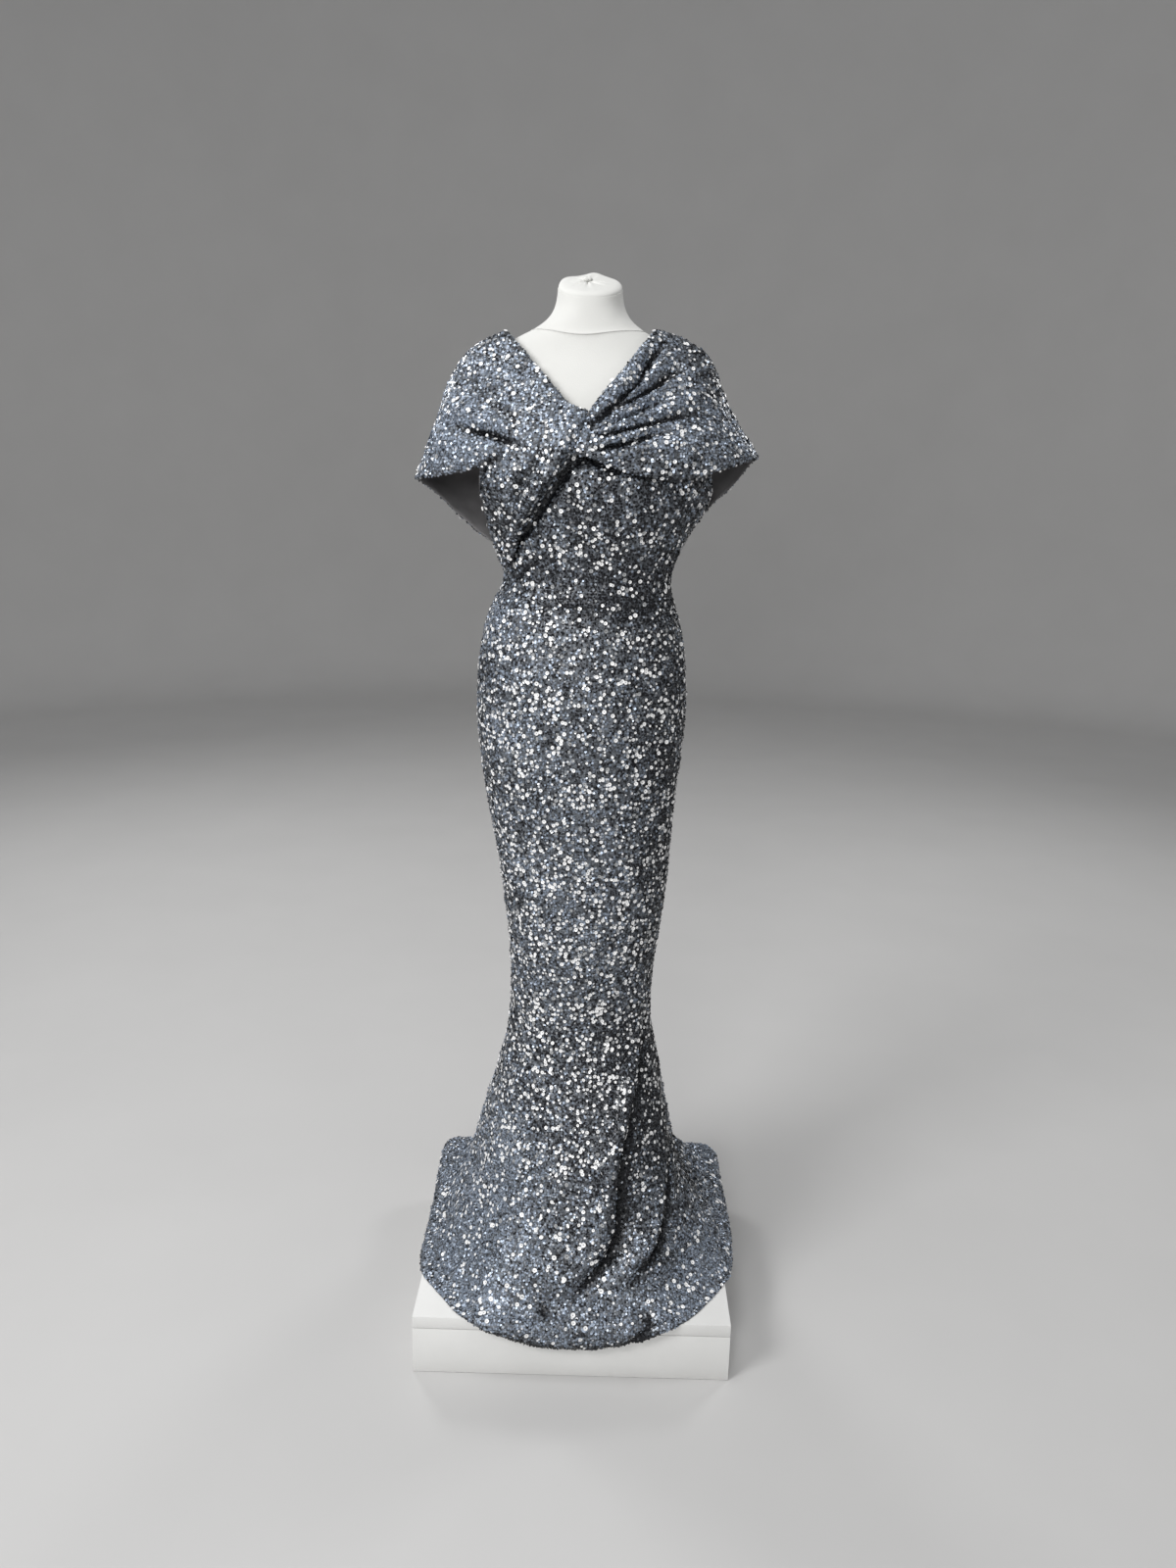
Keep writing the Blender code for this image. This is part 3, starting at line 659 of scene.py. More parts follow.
def open_edges(piece, kind):
    """A search tree of places along a face's open edges: the hem's, the seams', or all of them."""
    shape = bmesh.new()
    shape.from_mesh(piece.data)
    along = KDTree(len(shape.edges) * 4)
    for edge in shape.edges:
        if not edge.is_boundary:
            continue
        start, end = (v.co for v in edge.verts)
        middle = (start + end) / 2
        round_it = Vector((middle.y, AXIS_X - middle.x, 0)).normalized()
        hem = middle.z < HEM_HIGHEST and abs((end - start).normalized().dot(round_it)) > 0.5
        if kind == "all" or hem == (kind == "hem"):
            for step in range(4):
                along.insert(start.lerp(end, step / 4), 0)
    along.balance()
    shape.free()
    return along


def press_edges(piece, kind, reach, depth, shade):
    """Draws the cloth in along its open edges, as a seam or a turned hem does, and paints shade on it there.
    """
    along = open_edges(piece, kind)
    points, normals = read_points(piece.data), read_normals(piece.data)
    painted_shade = read(piece.data.attributes["painted_shade"].data, "value", 1)[:, 0]
    for index, point in enumerate(points):
        near = max(0.0, 1 - along.find(point)[2] / reach)
        near_shade = near * shade
        # painted shade at the hem, fullest where it hangs below the plinth's top
        if kind == "hem":
            near_shade *= min(1.0, max(LYING_HEM, (PLINTH_TOP - point[2]) / HANGING_DROP))
        painted_shade[index] = max(painted_shade[index], near_shade)
        points[index] = point - normals[index] * depth * near**2
    piece.data.attributes["painted_shade"].data.foreach_set("value", painted_shade)
    write_points(piece.data, points)


def keep_off_form(piece):
    """Holds the cloth off the padded form where a fold would reach into it."""
    points = read_points(piece.data)
    for index, point in enumerate(points):
        place, normal, _, _ = form_surface.find_nearest(Vector(point), 0.03)
        if place is not None and (Vector(point) - place).dot(normal) < OFF_FORM:
            points[index] = place + normal * OFF_FORM
    write_points(piece.data, points)


def scatter(piece, spacing, draw):
    """Places all over a face, one in each small cell of space it passes through: (place, facing, painted
    shade).
    """
    mesh = piece.data
    mesh.calc_loop_triangles()
    corners = read(mesh.loop_triangles, "vertices", kind=np.int32)
    points, normals = read_points(mesh), read_normals(mesh)
    painted_shade = read(mesh.attributes["painted_shade"].data, "value", 1)[:, 0]
    triangles = points[corners]
    one, other = triangles[:, 1] - triangles[:, 0], triangles[:, 2] - triangles[:, 0]
    areas = np.linalg.norm(np.cross(one, other), axis=1) / 2
    tries = int(areas.sum() / spacing**2 * TRIES)
    chosen = draw.choice(len(areas), tries, p=areas / areas.sum())
    u, v = draw.random((2, tries))
    u, v = np.where(u + v > 1, 1 - u, u), np.where(u + v > 1, 1 - v, v)
    weights = np.stack((1 - u - v, u, v), axis=1)[:, :, None]
    places = (triangles[chosen] * weights).sum(1)
    facing = (normals[corners[chosen]] * weights).sum(1)
    facing /= np.linalg.norm(facing, axis=1, keepdims=True)
    # the painted shade at each place, which also thins out the glints there
    depth = (painted_shade[corners[chosen]] * weights[:, :, 0]).sum(1)
    cells = np.floor(places / spacing).astype(np.int64)
    off_middle = np.linalg.norm(places / spacing - cells - 0.5, axis=1)
    order = np.argsort(off_middle + draw.random(tries) * 0.6, kind="stable")
    _, first = np.unique(cells[order], axis=0, return_index=True)
    picked = np.sort(order[first])
    return places[picked], facing[picked], depth[picked]


# A sequin's cell and radius, in metres, and the spread of its lean off the cloth, in degrees.
SMALL_SPACING, SMALL_RADIUS, SMALL_LEANS = 0.0037, 0.0019, 24.0
CLEAR_SPACING, CLEAR_RADIUS, CLEAR_LEANS = 0.0062, 0.0033, 11.0
MOST_LEAN = math.radians(75)
SMALL_SIZES, CLEAR_LEAST, CLEAR_SPREAD = (0.8, 1.15), 0.50, 0.55  # shares of those radii
SMALL_OFF, CLEAR_OFF = 0.0005, 0.0016  # how far off the cloth each kind is sewn
DISHED, HOLE = 0.14, 0.2  # a clear one's depth and its hole, as shares of its radius
PEARL_SHARE, POOL_HEIGHT = 0.3, 0.30  # under this height the pearl ones give way to larger clear ones
TRIES = 7  # places drawn for each cell


def leaning(places, facing, leans, draw):
    """Two directions in the plane of each loose sequin, its own facing, and how far it leans."""
    count = len(places)
    lean = np.minimum(np.radians(leans) * np.abs(draw.normal(size=count)), MOST_LEAN)
    side = draw.normal(size=(count, 3))
    side -= (side * facing).sum(1)[:, None] * facing
    side /= np.linalg.norm(side, axis=1, keepdims=True)
    up = facing * np.cos(lean)[:, None] + side * np.sin(lean)[:, None]
    one = np.cross(up, draw.normal(size=(count, 3)))
    one /= np.linalg.norm(one, axis=1, keepdims=True)
    return one, np.cross(up, one), up, lean


def ring_of(middle, one, two, radius, corners):
    """The corners of a disc round each middle, in the plane of the directions one and two."""
    turns = (np.arange(corners) * 2 * math.pi / corners)[None, :, None]
    outwards = np.cos(turns) * one[:, None] + np.sin(turns) * two[:, None]
    return middle[:, None] + radius[:, None, None] * outwards


# Painted light, where the mix of small sequins is paler, or below 0 painted shade, where it is darker: (x, z,
# reach along each, by how much).
PAINTED_LIGHT_AND_SHADE_PATCHES = (
    (-0.19, 1.47, 0.11, 0.09, 1.28), (-0.205, 1.42, 0.05, 0.04, 1.25), (0.065, 1.50, 0.075, 0.07, 1.45),
    (0.205, 1.435, 0.07, 0.05, 0.60), (0.09, 1.46, 0.07, 0.04, 0.70), (-0.02, 1.440, 0.05, 0.03, 0.60),
    (0.01, 1.335, 0.15, 0.075, -0.56), (0.05, 1.210, 0.13, 0.050, -1.15), (-0.15, 1.185, 0.06, 0.06, 0.95),
    (-0.13, 1.0, 0.07, 0.12, 0.35), (0.14, 0.97, 0.06, 0.22, -0.68), (-0.02, 0.74, 0.10, 0.18, 0.36),
    (0.12, 0.70, 0.04, 0.2, -0.50), (0.055, 0.46, 0.04, 0.09, -1.0), (-0.10, 0.33, 0.06, 0.10, 0.75),
    (-0.01, 0.39, 0.09, 0.14, -0.50), (-0.19, 0.20, 0.12, 0.13, 1.25), (-0.16, 0.10, 0.16, 0.05, 0.4),
    (0.22, 0.11, 0.12, 0.07, 1.05), (0.02, 0.085, 0.12, 0.04, 0.35), (0.195, 1.53, 0.05, 0.05, -0.45),
)
# Painted shade in the same way where only one side of the gown is meant: (place, reach, by how much).
PAINTED_SHADE_SPOTS = (
    ((0.18, 0.03, 0.165), 0.055, -1.9), ((0.120, -0.03, 0.46), 0.05, -1.4),
    ((0.128, -0.06, 0.39), 0.05, -1.6), ((0.135, -0.07, 0.32), 0.05, -1.2),
    ((0.222, 0.125, 0.128), 0.045, -0.8),
)
CLOUDS = (0.09, 0.05, 0.036, 0.028)  # the lengths of the mix's slow changes
FLECKS = (0.008, 0.011, 0.015, 0.021)  # and of the small dark clusters in it
PALEST = 1.4


def painted_patches(places):
    painted_tone = np.zeros(len(places))
    for x, z, reach_x, reach_z, amount in PAINTED_LIGHT_AND_SHADE_PATCHES:
        painted_tone += amount * np.exp(-(((places[:, 0] - x) / reach_x) ** 2) - ((places[:, 2] - z) / reach_z) ** 2)
    for place, reach, amount in PAINTED_SHADE_SPOTS:
        painted_tone += amount * np.exp(-(((places - place) / reach) ** 2).sum(1))
    return painted_tone


def painted_light_and_shade(places, painted_shade):
    """The mix of small sequins from place to place, with painted light and shade: -1 is darkest, 1 pale,
    PALEST the most.
    """
    painted_tone = painted_patches(places)
    evenness = np.clip(painted_tone, 0, 1)
    slow = waves(places, 8, CLOUDS, 0.5) * (1 - 0.5 * evenness)
    clusters = np.minimum(waves(places, 17, FLECKS, 1.2), 0.2) * (1 - 0.7 * evenness)
    # painted highlight: a paler mix on the folds' crests
    painted_crest_highlight = 0.4 * np.clip(-painted_shade, 0, 1)
    tone = np.clip(painted_tone + slow + clusters + painted_crest_highlight, -1, PALEST)
    # painted shade: a darker mix in the valleys and along drawn-in edges
    painted_shade_share = np.clip(1.4 * painted_shade, 0, 1)
    return tone * (1 - painted_shade_share) - painted_shade_share


def small_sequins(places, facing, painted_shade, draw):
    """Flat six-sided discs: (points, faces, finish of each face)."""
    one, two, _, lean = leaning(places, facing, SMALL_LEANS, draw)
    radius = SMALL_RADIUS * draw.uniform(*SMALL_SIZES, len(places))
    middle = places + facing * (SMALL_OFF + 0.55 * radius * np.sin(lean))[:, None]
    points = ring_of(middle, one, two, radius, 6).reshape(-1, 3)
    faces = np.arange(len(points)).reshape(-1, 6)
    usual, palest, darkest = (np.array([row[k] for row in SEQUIN_FINISHES]) for k in (1, 2, 3))
    # the mix turns paler with painted light and darker with painted shade
    tone = painted_light_and_shade(places, painted_shade)[:, None]
    shares = usual + np.clip(tone, 0, None) * (palest - usual) + np.clip(-tone, 0, 1) * (darkest - usual)
    bounds = np.cumsum(np.maximum(shares, 0), axis=1)
    luck = draw.random(len(places)) * bounds[:, -1]
    finish = (luck[:, None] > bounds).sum(1)
    return points, faces, finish


def glint_and_pearl_sequins(places, facing, draw):
    """Larger dished rings, eight-sided, with the hole that the thread goes through."""
    one, two, up, lean = leaning(places, facing, CLEAR_LEANS, draw)
    on_pool = np.clip((POOL_HEIGHT - places[:, 2]) / 0.12, 0, 1)
    size = CLEAR_LEAST + CLEAR_SPREAD * draw.random(len(places)) ** 1.2
    radius = CLEAR_RADIUS * size * (1 + 0.2 * on_pool)
    pearl = draw.random(len(places)) < PEARL_SHARE * (1 - on_pool)
    middle = places + facing * (CLEAR_OFF + 0.5 * radius * np.sin(lean))[:, None]
    outer = ring_of(middle + up * DISHED * radius[:, None], one, two, radius, 8)
    inner = ring_of(middle, one, two, radius * HOLE, 8)
    points = np.concatenate((outer, inner), axis=1).reshape(-1, 3)
    turn = np.arange(8)
    ring = np.stack((turn, (turn + 1) % 8, 8 + (turn + 1) % 8, 8 + turn), axis=1)
    faces = (np.arange(len(places))[:, None, None] * 16 + ring[None]).reshape(-1, 4)
    # most take the clear finish, whose white is a painted glint; the rest are pearl
    return points, faces, len(SEQUIN_FINISHES) - 2 + np.repeat(pearl, 8)


# The share of places that take a larger sequin, white as a painted glint or pearl, by height: most round the
# knees and hips, fewest on the pool.
GLINT_AND_PEARL_HEIGHTS = (0.05, 0.15, 0.21, 0.32, 0.50, 0.9, 1.12, 1.19, 1.32, 1.5)
GLINT_AND_PEARL_SHARES = (0.055, 0.06, 0.095, 0.24, 0.35, 0.31, 0.29, 0.19, 0.20, 0.19)
SHORT_ROWS, LEVEL = (0.13, 0.08, 0.05, 0.03, 0.02), (0.55, 0.55, 1.6)  # they lie in short level rows


def glint_and_pearl_share(places):
    """Share of places that take a larger sequin, painted glint or pearl; fewer where light is painted on the
    upper left.
    """
    by_height = np.interp(places[:, 2], GLINT_AND_PEARL_HEIGHTS, GLINT_AND_PEARL_SHARES)
    upper_left = np.clip((places[:, 2] - 1.1) / 0.05, 0, 1) * np.clip(-places[:, 0] / 0.05, 0, 1)
    fewer = 1 - 0.45 * upper_left * np.clip(painted_patches(places), 0, 1)
    return by_height * fewer * (1 + waves(places * LEVEL, 11, SHORT_ROWS, 1.0))


def sew_sequins(piece, name, seed, low=0.0, high=math.inf):
    """All the sequins of a cloth between two heights, as one piece."""
    draw = np.random.default_rng(seed)
    small, clear = scatter(piece, SMALL_SPACING, draw), scatter(piece, CLEAR_SPACING, draw)
    small, clear = (
        [values[(kind[0][:, 2] > low) & (kind[0][:, 2] <= high)] for values in kind]
        for kind in (small, clear)
    )
    # fewer painted glints where shade is painted into a valley or along an edge
    taken = draw.random(len(clear[0])) < glint_and_pearl_share(clear[0]) * (1 - 0.95 * np.clip(clear[2], 0, 1))
    first_points, first_faces, first_finish = small_sequins(*small, draw)
    points, faces, finish = glint_and_pearl_sequins(clear[0][taken], clear[1][taken], draw)
    corners = np.concatenate((first_faces.ravel(), faces.ravel() + len(first_points)))
    sizes = np.concatenate((np.full(len(first_faces), 6), np.full(len(faces), 4)))
    points = np.concatenate((first_points, points))
    mesh = bpy.data.meshes.new(name)
    mesh.vertices.add(len(points))
    mesh.vertices.foreach_set("co", points.ravel())
    mesh.loops.add(len(corners))
    mesh.loops.foreach_set("vertex_index", corners.astype(np.int32))
    mesh.polygons.add(len(sizes))
    mesh.polygons.foreach_set("loop_start", (np.cumsum(sizes) - sizes).astype(np.int32))
    mesh.polygons.foreach_set("material_index", np.concatenate((first_finish, finish)).astype(np.int32))
    mesh.update(calc_edges=True)
    mesh.validate()
    for material in sequin_slots:
        mesh.materials.append(material)
    sequins = bpy.data.objects.new(name, mesh)
    bpy.context.collection.objects.link(sequins)
    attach(sequins, "root")
    return sequins


def finish_panel(piece, node, sequins, flat, area, held, *rests_on):
    """Turns the face into cloth: the wall goes inwards, and shows the lining inside and on its raw edges."""
    piece.data.materials.clear()
    piece.data.materials.append(sequinned_net)
    piece.data.materials.append(dark_lining)
    apply_modifier(piece, "SOLIDIFY", thickness=CLOTH, offset=-1.0, material_offset=1, material_offset_rim=1)
    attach(piece, "root")
    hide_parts(node)


def round_the_axis(points):
    """(metres round, height) of each point, for the skirt's and bodice's folds, and the way round."""
    turn = np.arctan2(points[:, 0] - AXIS_X, -points[:, 1])
    way_round = np.stack((np.cos(turn), np.sin(turn), np.zeros(len(turn))), axis=1)
    return np.stack((turn * FOLD_RADIUS, points[:, 2]), axis=1), way_round


def keep_off_plinth(piece):
    """The pooled cloth stays on the plinth's top and outside its faces."""
    points = read_points(piece.data)
    x, y, z = points.T
    under = CLOTH + OFF_BOARD
    over = (np.maximum(np.abs(x), np.abs(y)) < PLINTH_HALF + 0.001) & (z > PLINTH_TOP - 0.012)
    z[over] = np.maximum(z[over], PLINTH_TOP + under)
    for axis in (0, 1):
        far, other = np.abs(points[:, axis]), np.abs(points[:, 1 - axis])
        beside = (z < PLINTH_TOP + under) & (far > PLINTH_HALF - 0.006)
        beside &= (other < PLINTH_HALF + 0.03) & (far > other)
        held_off = np.maximum(far[beside], PLINTH_HALF + under)
        points[beside, axis] = np.sign(points[beside, axis]) * held_off
    write_points(piece.data, points)


SKIRT_FOLDS = (
    # the right side falls in under the knee, and the pool swells out at its foot
    fold((96, 420, 0, 45), (92, 330, -8, 45), (90, 270, -10, 40), (90, 220, 0, 30)),
    fold((138, 400, 0, 50), (132, 300, -9, 48), (128, 230, -16, 44), (124, 180, -13, 34), (122, 145, 0, 24)),
    fold((66, 135, 0, 18), (78, 135, 4, 18), (96, 130, 4, 18), (110, 130, 0, 18)),
    fold((52, 80, 0, 16), (66, 75, -6, 16), (84, 70, -6, 16), (105, 70, 0, 16)),
    # the great lobe's crest, which leans over to the right, and the valley under its edge, dark with painted
    # shade
    fold((60, 540, 0, 12), (54, 500, 5, 11, 2), (33, 406, 8, 12, 5), (20, 311, 10, 13, 8),
         (18, 224, 11, 13, 9), (9, 175, 9, 12, 8), (0, 145, 5, 10, 4), (-8, 122, 0, 8), sides=(1.6, 0.8)),
    fold((78, 560, 0, 18), (68, 500, -4, 18), (46, 406, -6, 17), (33, 311, -7, 16), (28, 224, -6, 13),
         (20, 178, -4, 10), (9, 148, -2, 8), (0, 125, 0, 7)),
    fold((73, 535, 0, 7), (66, 500, -9, 7), (61.5, 480, -13, 7.5), (53, 451, -15, 7.5), (43, 411, -16, 8),
         (36, 373.5, -17, 8), (32, 348, -17, 8), (27, 294, -16, 7.5), (25, 224, -13, 6), (18, 178, -10, 5.5),
         (8.5, 148, -7, 5), (0, 125, -1, 5), sides=(1.4, 0.8)),
    # a small tuck at the hem, and a dimple on the pool
    fold((20, 74, -10, 4.5), (24, 93, -9, 4.5), (27, 106, -6, 4), (29, 116, 0, 4)),
    fold((15, 70, 0, 5), (18.5, 86, 5, 6), (21.5, 103, 5, 6), (24, 118, 0, 5)),
    fold((-7, 105, 0, 4), (-9, 110, -7, 4.5), (-11, 116, -6, 4.5), (-14, 122, 0, 4)),
    # soft flutes in the flare at the left and behind, and creases behind the knee
    fold((-24, 460, 0, 10), (-24, 390, -3, 10), (-27, 300, -3, 11), (-33, 220, -1, 13), (-36, 180, 0, 13)),
    fold((-46, 440, 0, 12), (-50, 340, 4, 14), (-56, 250, 5, 16), (-60, 160, 3, 18), (-62, 120, 0, 18)),
    fold((-76, 420, 0, 11), (-80, 320, -6, 13), (-84, 240, -8, 15), (-86, 170, -5, 18), (-87, 120, 0, 18)),
    fold((-104, 460, 0, 12), (-106, 340, 5, 14), (-110, 240, 6, 18), (-114, 150, 3, 20), (-116, 120, 0, 20)),
    fold((-124, 520, 0, 10), (-127, 380, -6, 12), (-131, 270, -9, 14), (-136, 180, -6, 18),
         (-138, 120, 0, 20)),
    fold((-145, 480, 0, 12), (-147, 360, 5, 14), (-150, 250, 7, 18), (-153, 160, 4, 20), (-154, 120, 0, 20)),
    fold((-161, 550, 0, 9), (-163, 420, -5, 11), (-166, 300, -8, 13), (-169, 200, -6, 16),
         (-170, 130, 0, 18)),
    fold((108, 500, 0, 11), (109, 380, 5, 13), (110, 280, 5, 14), (112, 200, 0, 16)),
    fold((150, 500, 0, 12), (149, 380, 6, 14), (147, 270, 8, 18), (145, 170, 6, 22), (144, 120, 0, 22)),
    fold((164, 560, 0, 9), (164, 420, -6, 11), (163, 300, -9, 14), (161, 200, -7, 18), (160, 120, 0, 20)),
    fold((108, 575, 0, 7), (130, 566, -3, 8), (152, 572, -4, 8), (174, 585, 0, 8)),
    fold((-174, 560, 0, 8), (-150, 545, -4, 8), (-126, 552, -3, 8), (-104, 570, 0, 7)),
    fold((120, 535, 0, 7), (146, 528, 3, 8), (170, 540, 0, 8)),
    # the second lobe and its valley
    fold((78, 330, 0, 8), (68, 270, 4, 9, 2), (50, 220, 7, 10, 4), (29, 170, 7, 10, 4), (20, 146, 4, 8, 2),
         (14, 124, 0, 7)),
    fold((76, 330, 0, 8), (64, 275, -8, 9), (57, 245, -13, 9), (47, 203, -15, 8), (41, 182, -14, 8),
         (35, 170, -12, 7), (29, 158, -7, 7), (23, 135, 0, 6)),
    fold((88, 200, 0, 14), (74, 205, 5, 12), (63, 190, 7, 12), (54, 165, 5, 14), (50, 135, 0, 14)),
)
sequinned_net, dark_lining = net(), lining()
form_surface = BVHTree.FromObject(torso, bpy.context.evaluated_depsgraph_get())
sequin_slots = [
    start_material("sequin_" + name, roughness, metallic, Base_Color=(*colour, 1.0))[0]
    for name, _, _, _, colour, roughness, metallic in SEQUIN_FINISHES
]

# Each panel's flat size and area, as cut.
SKIRT_PANELS = (
    ("skirt_front", (1.02, 1.28), 0.56), ("skirt_back_left", (0.60, 1.30), 0.31),
    ("skirt_back_right", (0.60, 1.30), 0.31),
)
for number, (node, flat, area) in enumerate(SKIRT_PANELS):
    panel = outer_face(node, node + "_cloth", 2)
    press_folds(panel, round_the_axis, A_DEGREE, SKIRT_FOLDS)
    press_edges(panel, "seam", *SEAM)
    press_edges(panel, "hem", *HEM)
    keep_off_form(panel)
    keep_off_plinth(panel)
    upper = sew_sequins(panel, node + "_sequins_upper", seed=20 + number, low=PARTING)
    lower = sew_sequins(panel, node + "_sequins_lower", seed=30 + number, high=PARTING)
    finish_panel(panel, node, [upper, lower], flat, area, "hung", "form_torso", "plinth_top")

# ========== bodice
# A fitted front and two fitted backs, joined to the skirt at the waist. The front runs up under the drapes,
# and the backs end at a yoke seam where the wings take over.

BODICE_FOLDS = (
    # pressed in under the left drape's edge, and under the right drape's hem beside the twist, and painted
    # with the shadows that the drapes cast there
    fold((4, 1414, -6, 7), (-4, 1406, -9, 7.5), (-11, 1391, -9, 7), (-17, 1371, -9, 6.5), (-25, 1345, -9, 6),
         (-32, 1323, -9, 6), (-46, 1293, -8, 5.5), (-61, 1264, -6, 5), (-74, 1240, 0, 5)),
    fold((-4, 1412, -5, 9), (6, 1403, -9, 9), (17, 1395, -8, 8), (27, 1388, -5, 7), (38, 1380, -4, 6),
         (60, 1375, -2, 5), (76, 1380, 0, 5)),
    # short strain lines that run from the left side towards the drape's point
    fold((-66, 1222, 0, 5), (-54, 1237, -4, 5), (-40, 1258, -4, 4), (-27, 1275, 0, 4)),
    fold((-64, 1213, 0, 5), (-52, 1226, 3, 5), (-38, 1244, 3, 5), (-28, 1255, 0, 4)),
    fold((-68, 1203, 0, 5), (-54, 1213, -3, 5), (-36, 1228, 0, 4)),
)
BODICE_PANELS = (
    ("bodice_front", (0.44, 0.26), 0.10), ("bodice_back_left", (0.20, 0.09), 0.0155),
    ("bodice_back_right", (0.20, 0.09), 0.0155),
)
for number, (node, flat, area) in enumerate(BODICE_PANELS):
    panel = outer_face(node, node + "_cloth", 2)
    press_folds(panel, round_the_axis, A_DEGREE, BODICE_FOLDS)
    press_edges(panel, "all", *SEAM)
    keep_off_form(panel)
    sequins = sew_sequins(panel, node + "_sequins", seed=40 + number)
    finish_panel(panel, node, [sequins], flat, area, "stretched", "form_torso")

# ========== drapes and wings
# Two front drapes, gathered where they twist at the bust, open into short cape sleeves. Two back wings are
# sewn to them along the crests. The left drape crosses over the right one and ends in a point at the waist.


def seen_from_front(points):
    return points[:, (0, 2)], np.array((1, 0, 0))


# The drapes' and wings' open edges: how wide, how far they are drawn in, and how much painted shade they
# take.
SLEEVE_EDGE = (0.005, 0.0015, 0.25)
LEFT_DRAPE_FOLDS = (
    # the broad valley from the shoulder, the deep crease under it and the sleeve's tuck
    fold((-205, 1535, 0, 16), (-181, 1516.5, -5, 15), (-142, 1484, -7, 12), (-113, 1461, -5, 9),
         (-88, 1449, 0, 8)),
    fold((-200, 1449, 0, 7), (-172, 1442, -7, 5.5), (-140, 1436, -10, 5.5), (-118, 1428, -8, 5),
         (-92, 1417, 0, 5)),
    fold((-170, 1386, 0, 8), (-150, 1392, -4, 8), (-132, 1404, -6, 7), (-108, 1414, 0, 7)),
    fold((-215, 1474, 0, 12), (-170, 1461, 5, 10), (-125, 1450, 5, 8), (-88, 1438, 0, 8)),
    fold((-225, 1412, 0, 9), (-165, 1417, 6, 9), (-132, 1417, 6, 7), (-100, 1402, 0, 7)),
    # the twist: the edge rolls under and the cloth swells beside it
    fold((-4, 1462, -2, 3), (-13.6, 1442.3, -3, 3.5), (-33, 1402.7, -3, 3.5), (-53, 1369, -3, 3.5),
         (-78, 1335, -3, 3.5), (-92, 1307, -3, 3.5), (-106, 1278, -2, 3.5), (-116, 1249, -1, 3)),
    fold((-12, 1468, 2, 8), (-23.5, 1447, 6, 9), (-43, 1408, 11, 10), (-62.5, 1375.5, 12, 10),
         (-88, 1341, 10, 10), (-102, 1312, 8, 9), (-116, 1283, 6, 8), (-123.5, 1252.5, 2, 7),
         sides=(0.9, 1.5)),
    fold((-55, 1447, 0, 6), (-70, 1412, -4, 6), (-94, 1366, -4, 6), (-112, 1316, -2, 6), (-121, 1270, 0, 6)),
    fold((-92, 1418, 0, 7), (-106, 1388, 4, 8), (-118, 1345, 4, 8), (-125, 1300, 0, 8)),
)
RIGHT_DRAPE_FOLDS = (
    # valleys, from the neckline down
    fold((0, 1452, -2, 4), (18, 1468, -7, 4), (46, 1492, -9, 4.5), (68, 1513, -9, 5), (80, 1537, -8, 6),
         (97, 1563, -5, 6), (112, 1585, 0, 6)),
    fold((0, 1448, -2, 3), (34, 1474.5, -7, 3.5), (66, 1492, -8, 4.5), (94, 1509, -8, 6), (115, 1529, -5, 7),
         (135, 1537, 0, 8)),
    fold((0, 1444, -2, 3), (27, 1452, -6, 3), (58, 1466, -6, 4), (92, 1481.5, -5, 5), (124, 1500, 0, 7)),
    fold((4, 1438, -2, 3), (25, 1438, -7, 3.5), (55, 1447, -8, 4.5), (88, 1456.5, -8, 6), (111, 1463, -6, 7),
         (138, 1469.5, -4, 8), (175, 1478, 0, 10)),
    fold((0, 1422, -3, 4), (20, 1419, -7, 4), (48, 1426.5, -8, 4.5), (70, 1433, -8, 5), (92, 1442, -5, 6),
         (118, 1450, 0, 8)),
    # ridges between them
    fold((4, 1468, 0, 5), (26, 1490, 5, 6), (50, 1520, 5, 7), (73, 1556, 4, 7), (85, 1580, 0, 7)),
    fold((40, 1484.5, 2, 4), (66, 1502, 5, 5), (82, 1521, 6, 7), (100, 1542, 4, 8), (125, 1565, 0, 9)),
    fold((20, 1458.5, 2, 4), (45, 1471.5, 4, 5), (75, 1486, 5, 6), (105, 1504, 4, 8), (140, 1518, 0, 10)),
    fold((14, 1446, 2, 4), (42, 1455, 4, 5), (80, 1467, 6, 7), (115, 1482, 5, 9), (160, 1497, 0, 11)),
    fold((6, 1430, 2, 4), (35, 1434.5, 5, 5), (70, 1444, 5, 6), (105, 1452.5, 3, 7), (140, 1459, 0, 8)),
    fold((0, 1410, 3, 5), (30, 1409, 6, 7), (70, 1417, 6, 9), (120, 1430, 5, 11), (170, 1446, 3, 12),
         (220, 1455, 0, 12)),
)
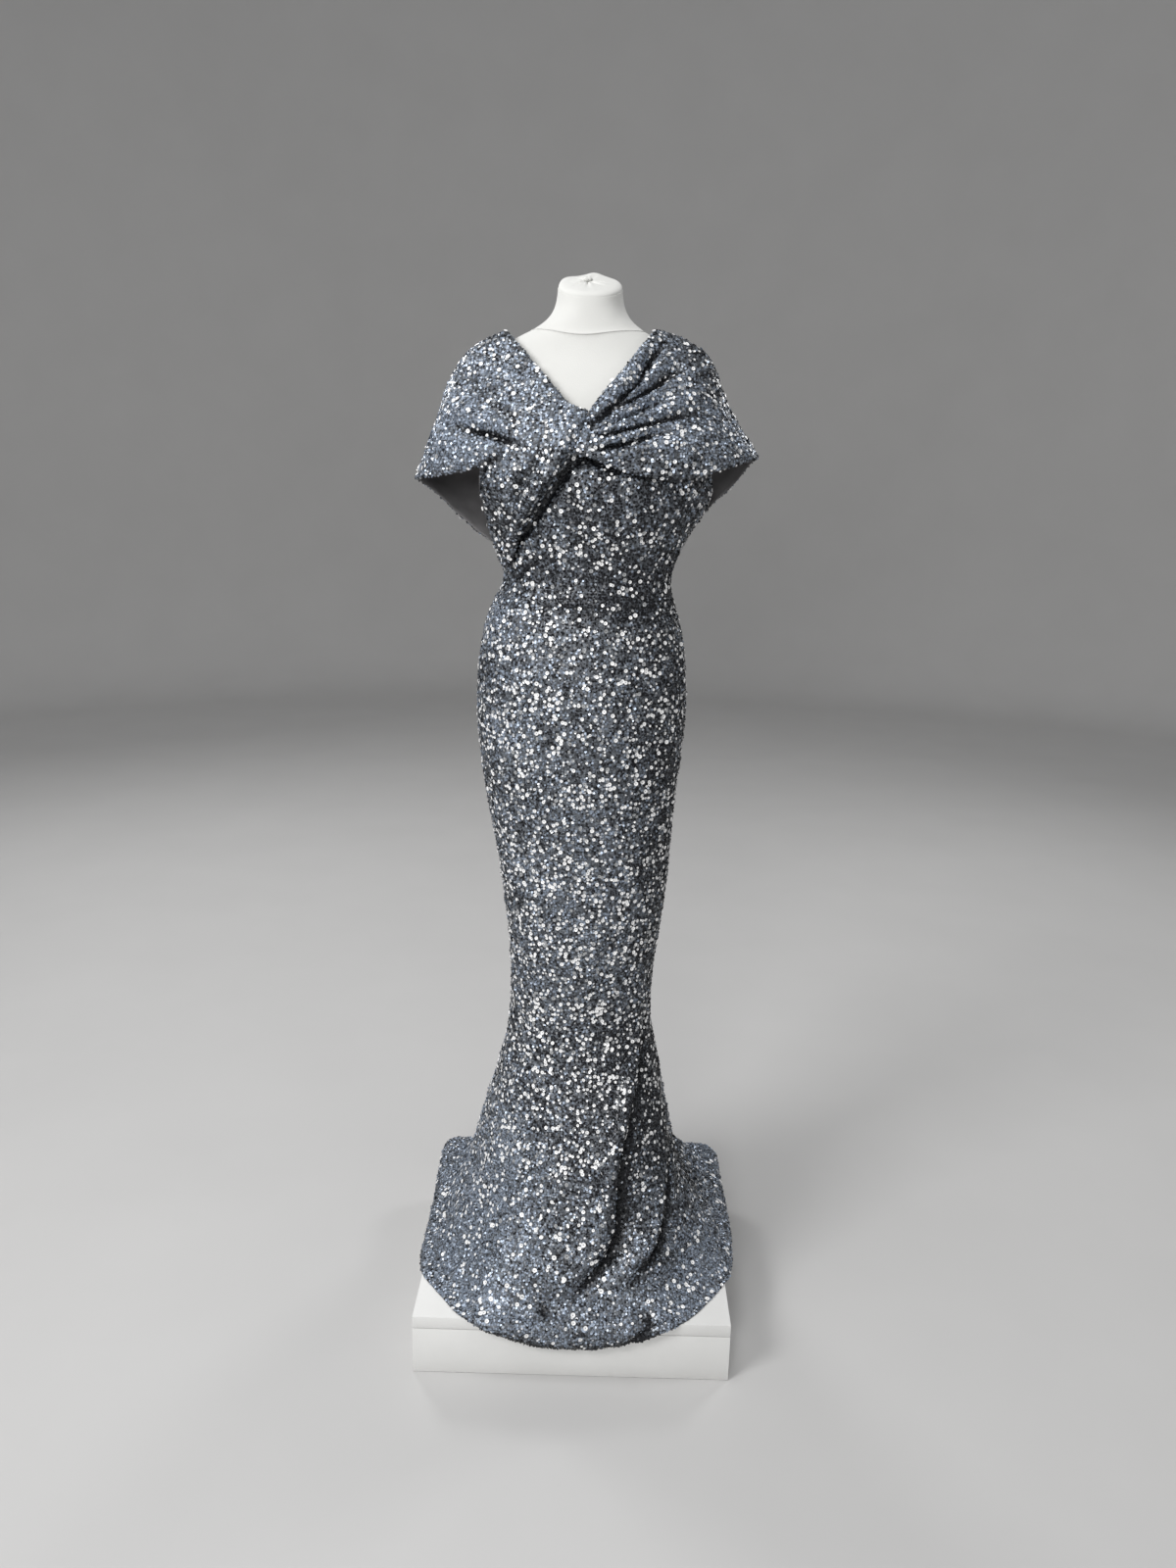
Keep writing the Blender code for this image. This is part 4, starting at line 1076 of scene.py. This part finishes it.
LEFT_WING_FOLDS = (
    # long soft folds from the neck and the shoulder down to the yoke, and one that follows the sleeve
    fold((-50, 1565, 0, 9), (-72, 1500, -5, 11), (-78, 1425, -7, 13), (-68, 1345, -5, 13),
         (-52, 1285, 0, 11)),
    fold((-85, 1565, 0, 10), (-110, 1500, 4, 13), (-120, 1420, 6, 15), (-112, 1345, 4, 14),
         (-95, 1285, 0, 12)),
    fold((-115, 1555, 0, 9), (-150, 1495, -4, 11), (-166, 1425, -6, 12), (-160, 1355, -3, 12),
         (-145, 1300, 0, 11)),
    fold((-170, 1520, 0, 9), (-205, 1470, 3, 11), (-222, 1415, 3, 12), (-215, 1360, 0, 12)),
    fold((-18, 1550, 0, 9), (-30, 1480, 3, 11), (-34, 1400, 4, 12), (-28, 1320, 0, 12)),
)
RIGHT_WING_FOLDS = (
    fold((52, 1560, 0, 9), (66, 1490, -4, 11), (72, 1415, -6, 13), (62, 1340, -4, 13), (46, 1280, 0, 11)),
    fold((85, 1560, 0, 10), (104, 1495, 5, 13), (114, 1415, 6, 15), (106, 1345, 4, 14), (88, 1285, 0, 12)),
    fold((120, 1550, 0, 9), (144, 1490, -5, 11), (158, 1425, -7, 12), (152, 1360, -3, 12),
         (136, 1305, 0, 11)),
    fold((165, 1520, 0, 9), (196, 1470, 4, 11), (210, 1420, 3, 12), (205, 1370, 0, 12)),
    fold((14, 1540, 0, 9), (26, 1470, 3, 11), (32, 1390, 4, 12), (24, 1310, 0, 12)),
)
# Each one's solid, name, flat size, area and folds.
DRAPE_PANELS = (
    ("drape_front_left", "drape_left", (0.33, 0.36), 0.068, LEFT_DRAPE_FOLDS),
    ("drape_front_right", "drape_right", (0.33, 0.25), 0.058, RIGHT_DRAPE_FOLDS),
    ("wing_back_left", "wing_left", (0.30, 0.33), 0.080, LEFT_WING_FOLDS),
    ("wing_back_right", "wing_right", (0.30, 0.33), 0.078, RIGHT_WING_FOLDS),
)
for number, (node, name, flat, area, folds) in enumerate(DRAPE_PANELS):
    # the left drape's corner at the armhole turns in too sharply to be held to the solid's points
    panel = outer_face(node, name + "_cloth", 3 if "front" in node else 2, held=node != "drape_front_left")
    press_folds(panel, seen_from_front, A_MM, folds, 0.0008)
    press_edges(panel, "all", *SLEEVE_EDGE)
    keep_off_form(panel)
    sequins = sew_sequins(panel, name + "_sequins", seed=50 + number)
    finish_panel(panel, node, [sequins], flat, area, "draped", "form_torso")
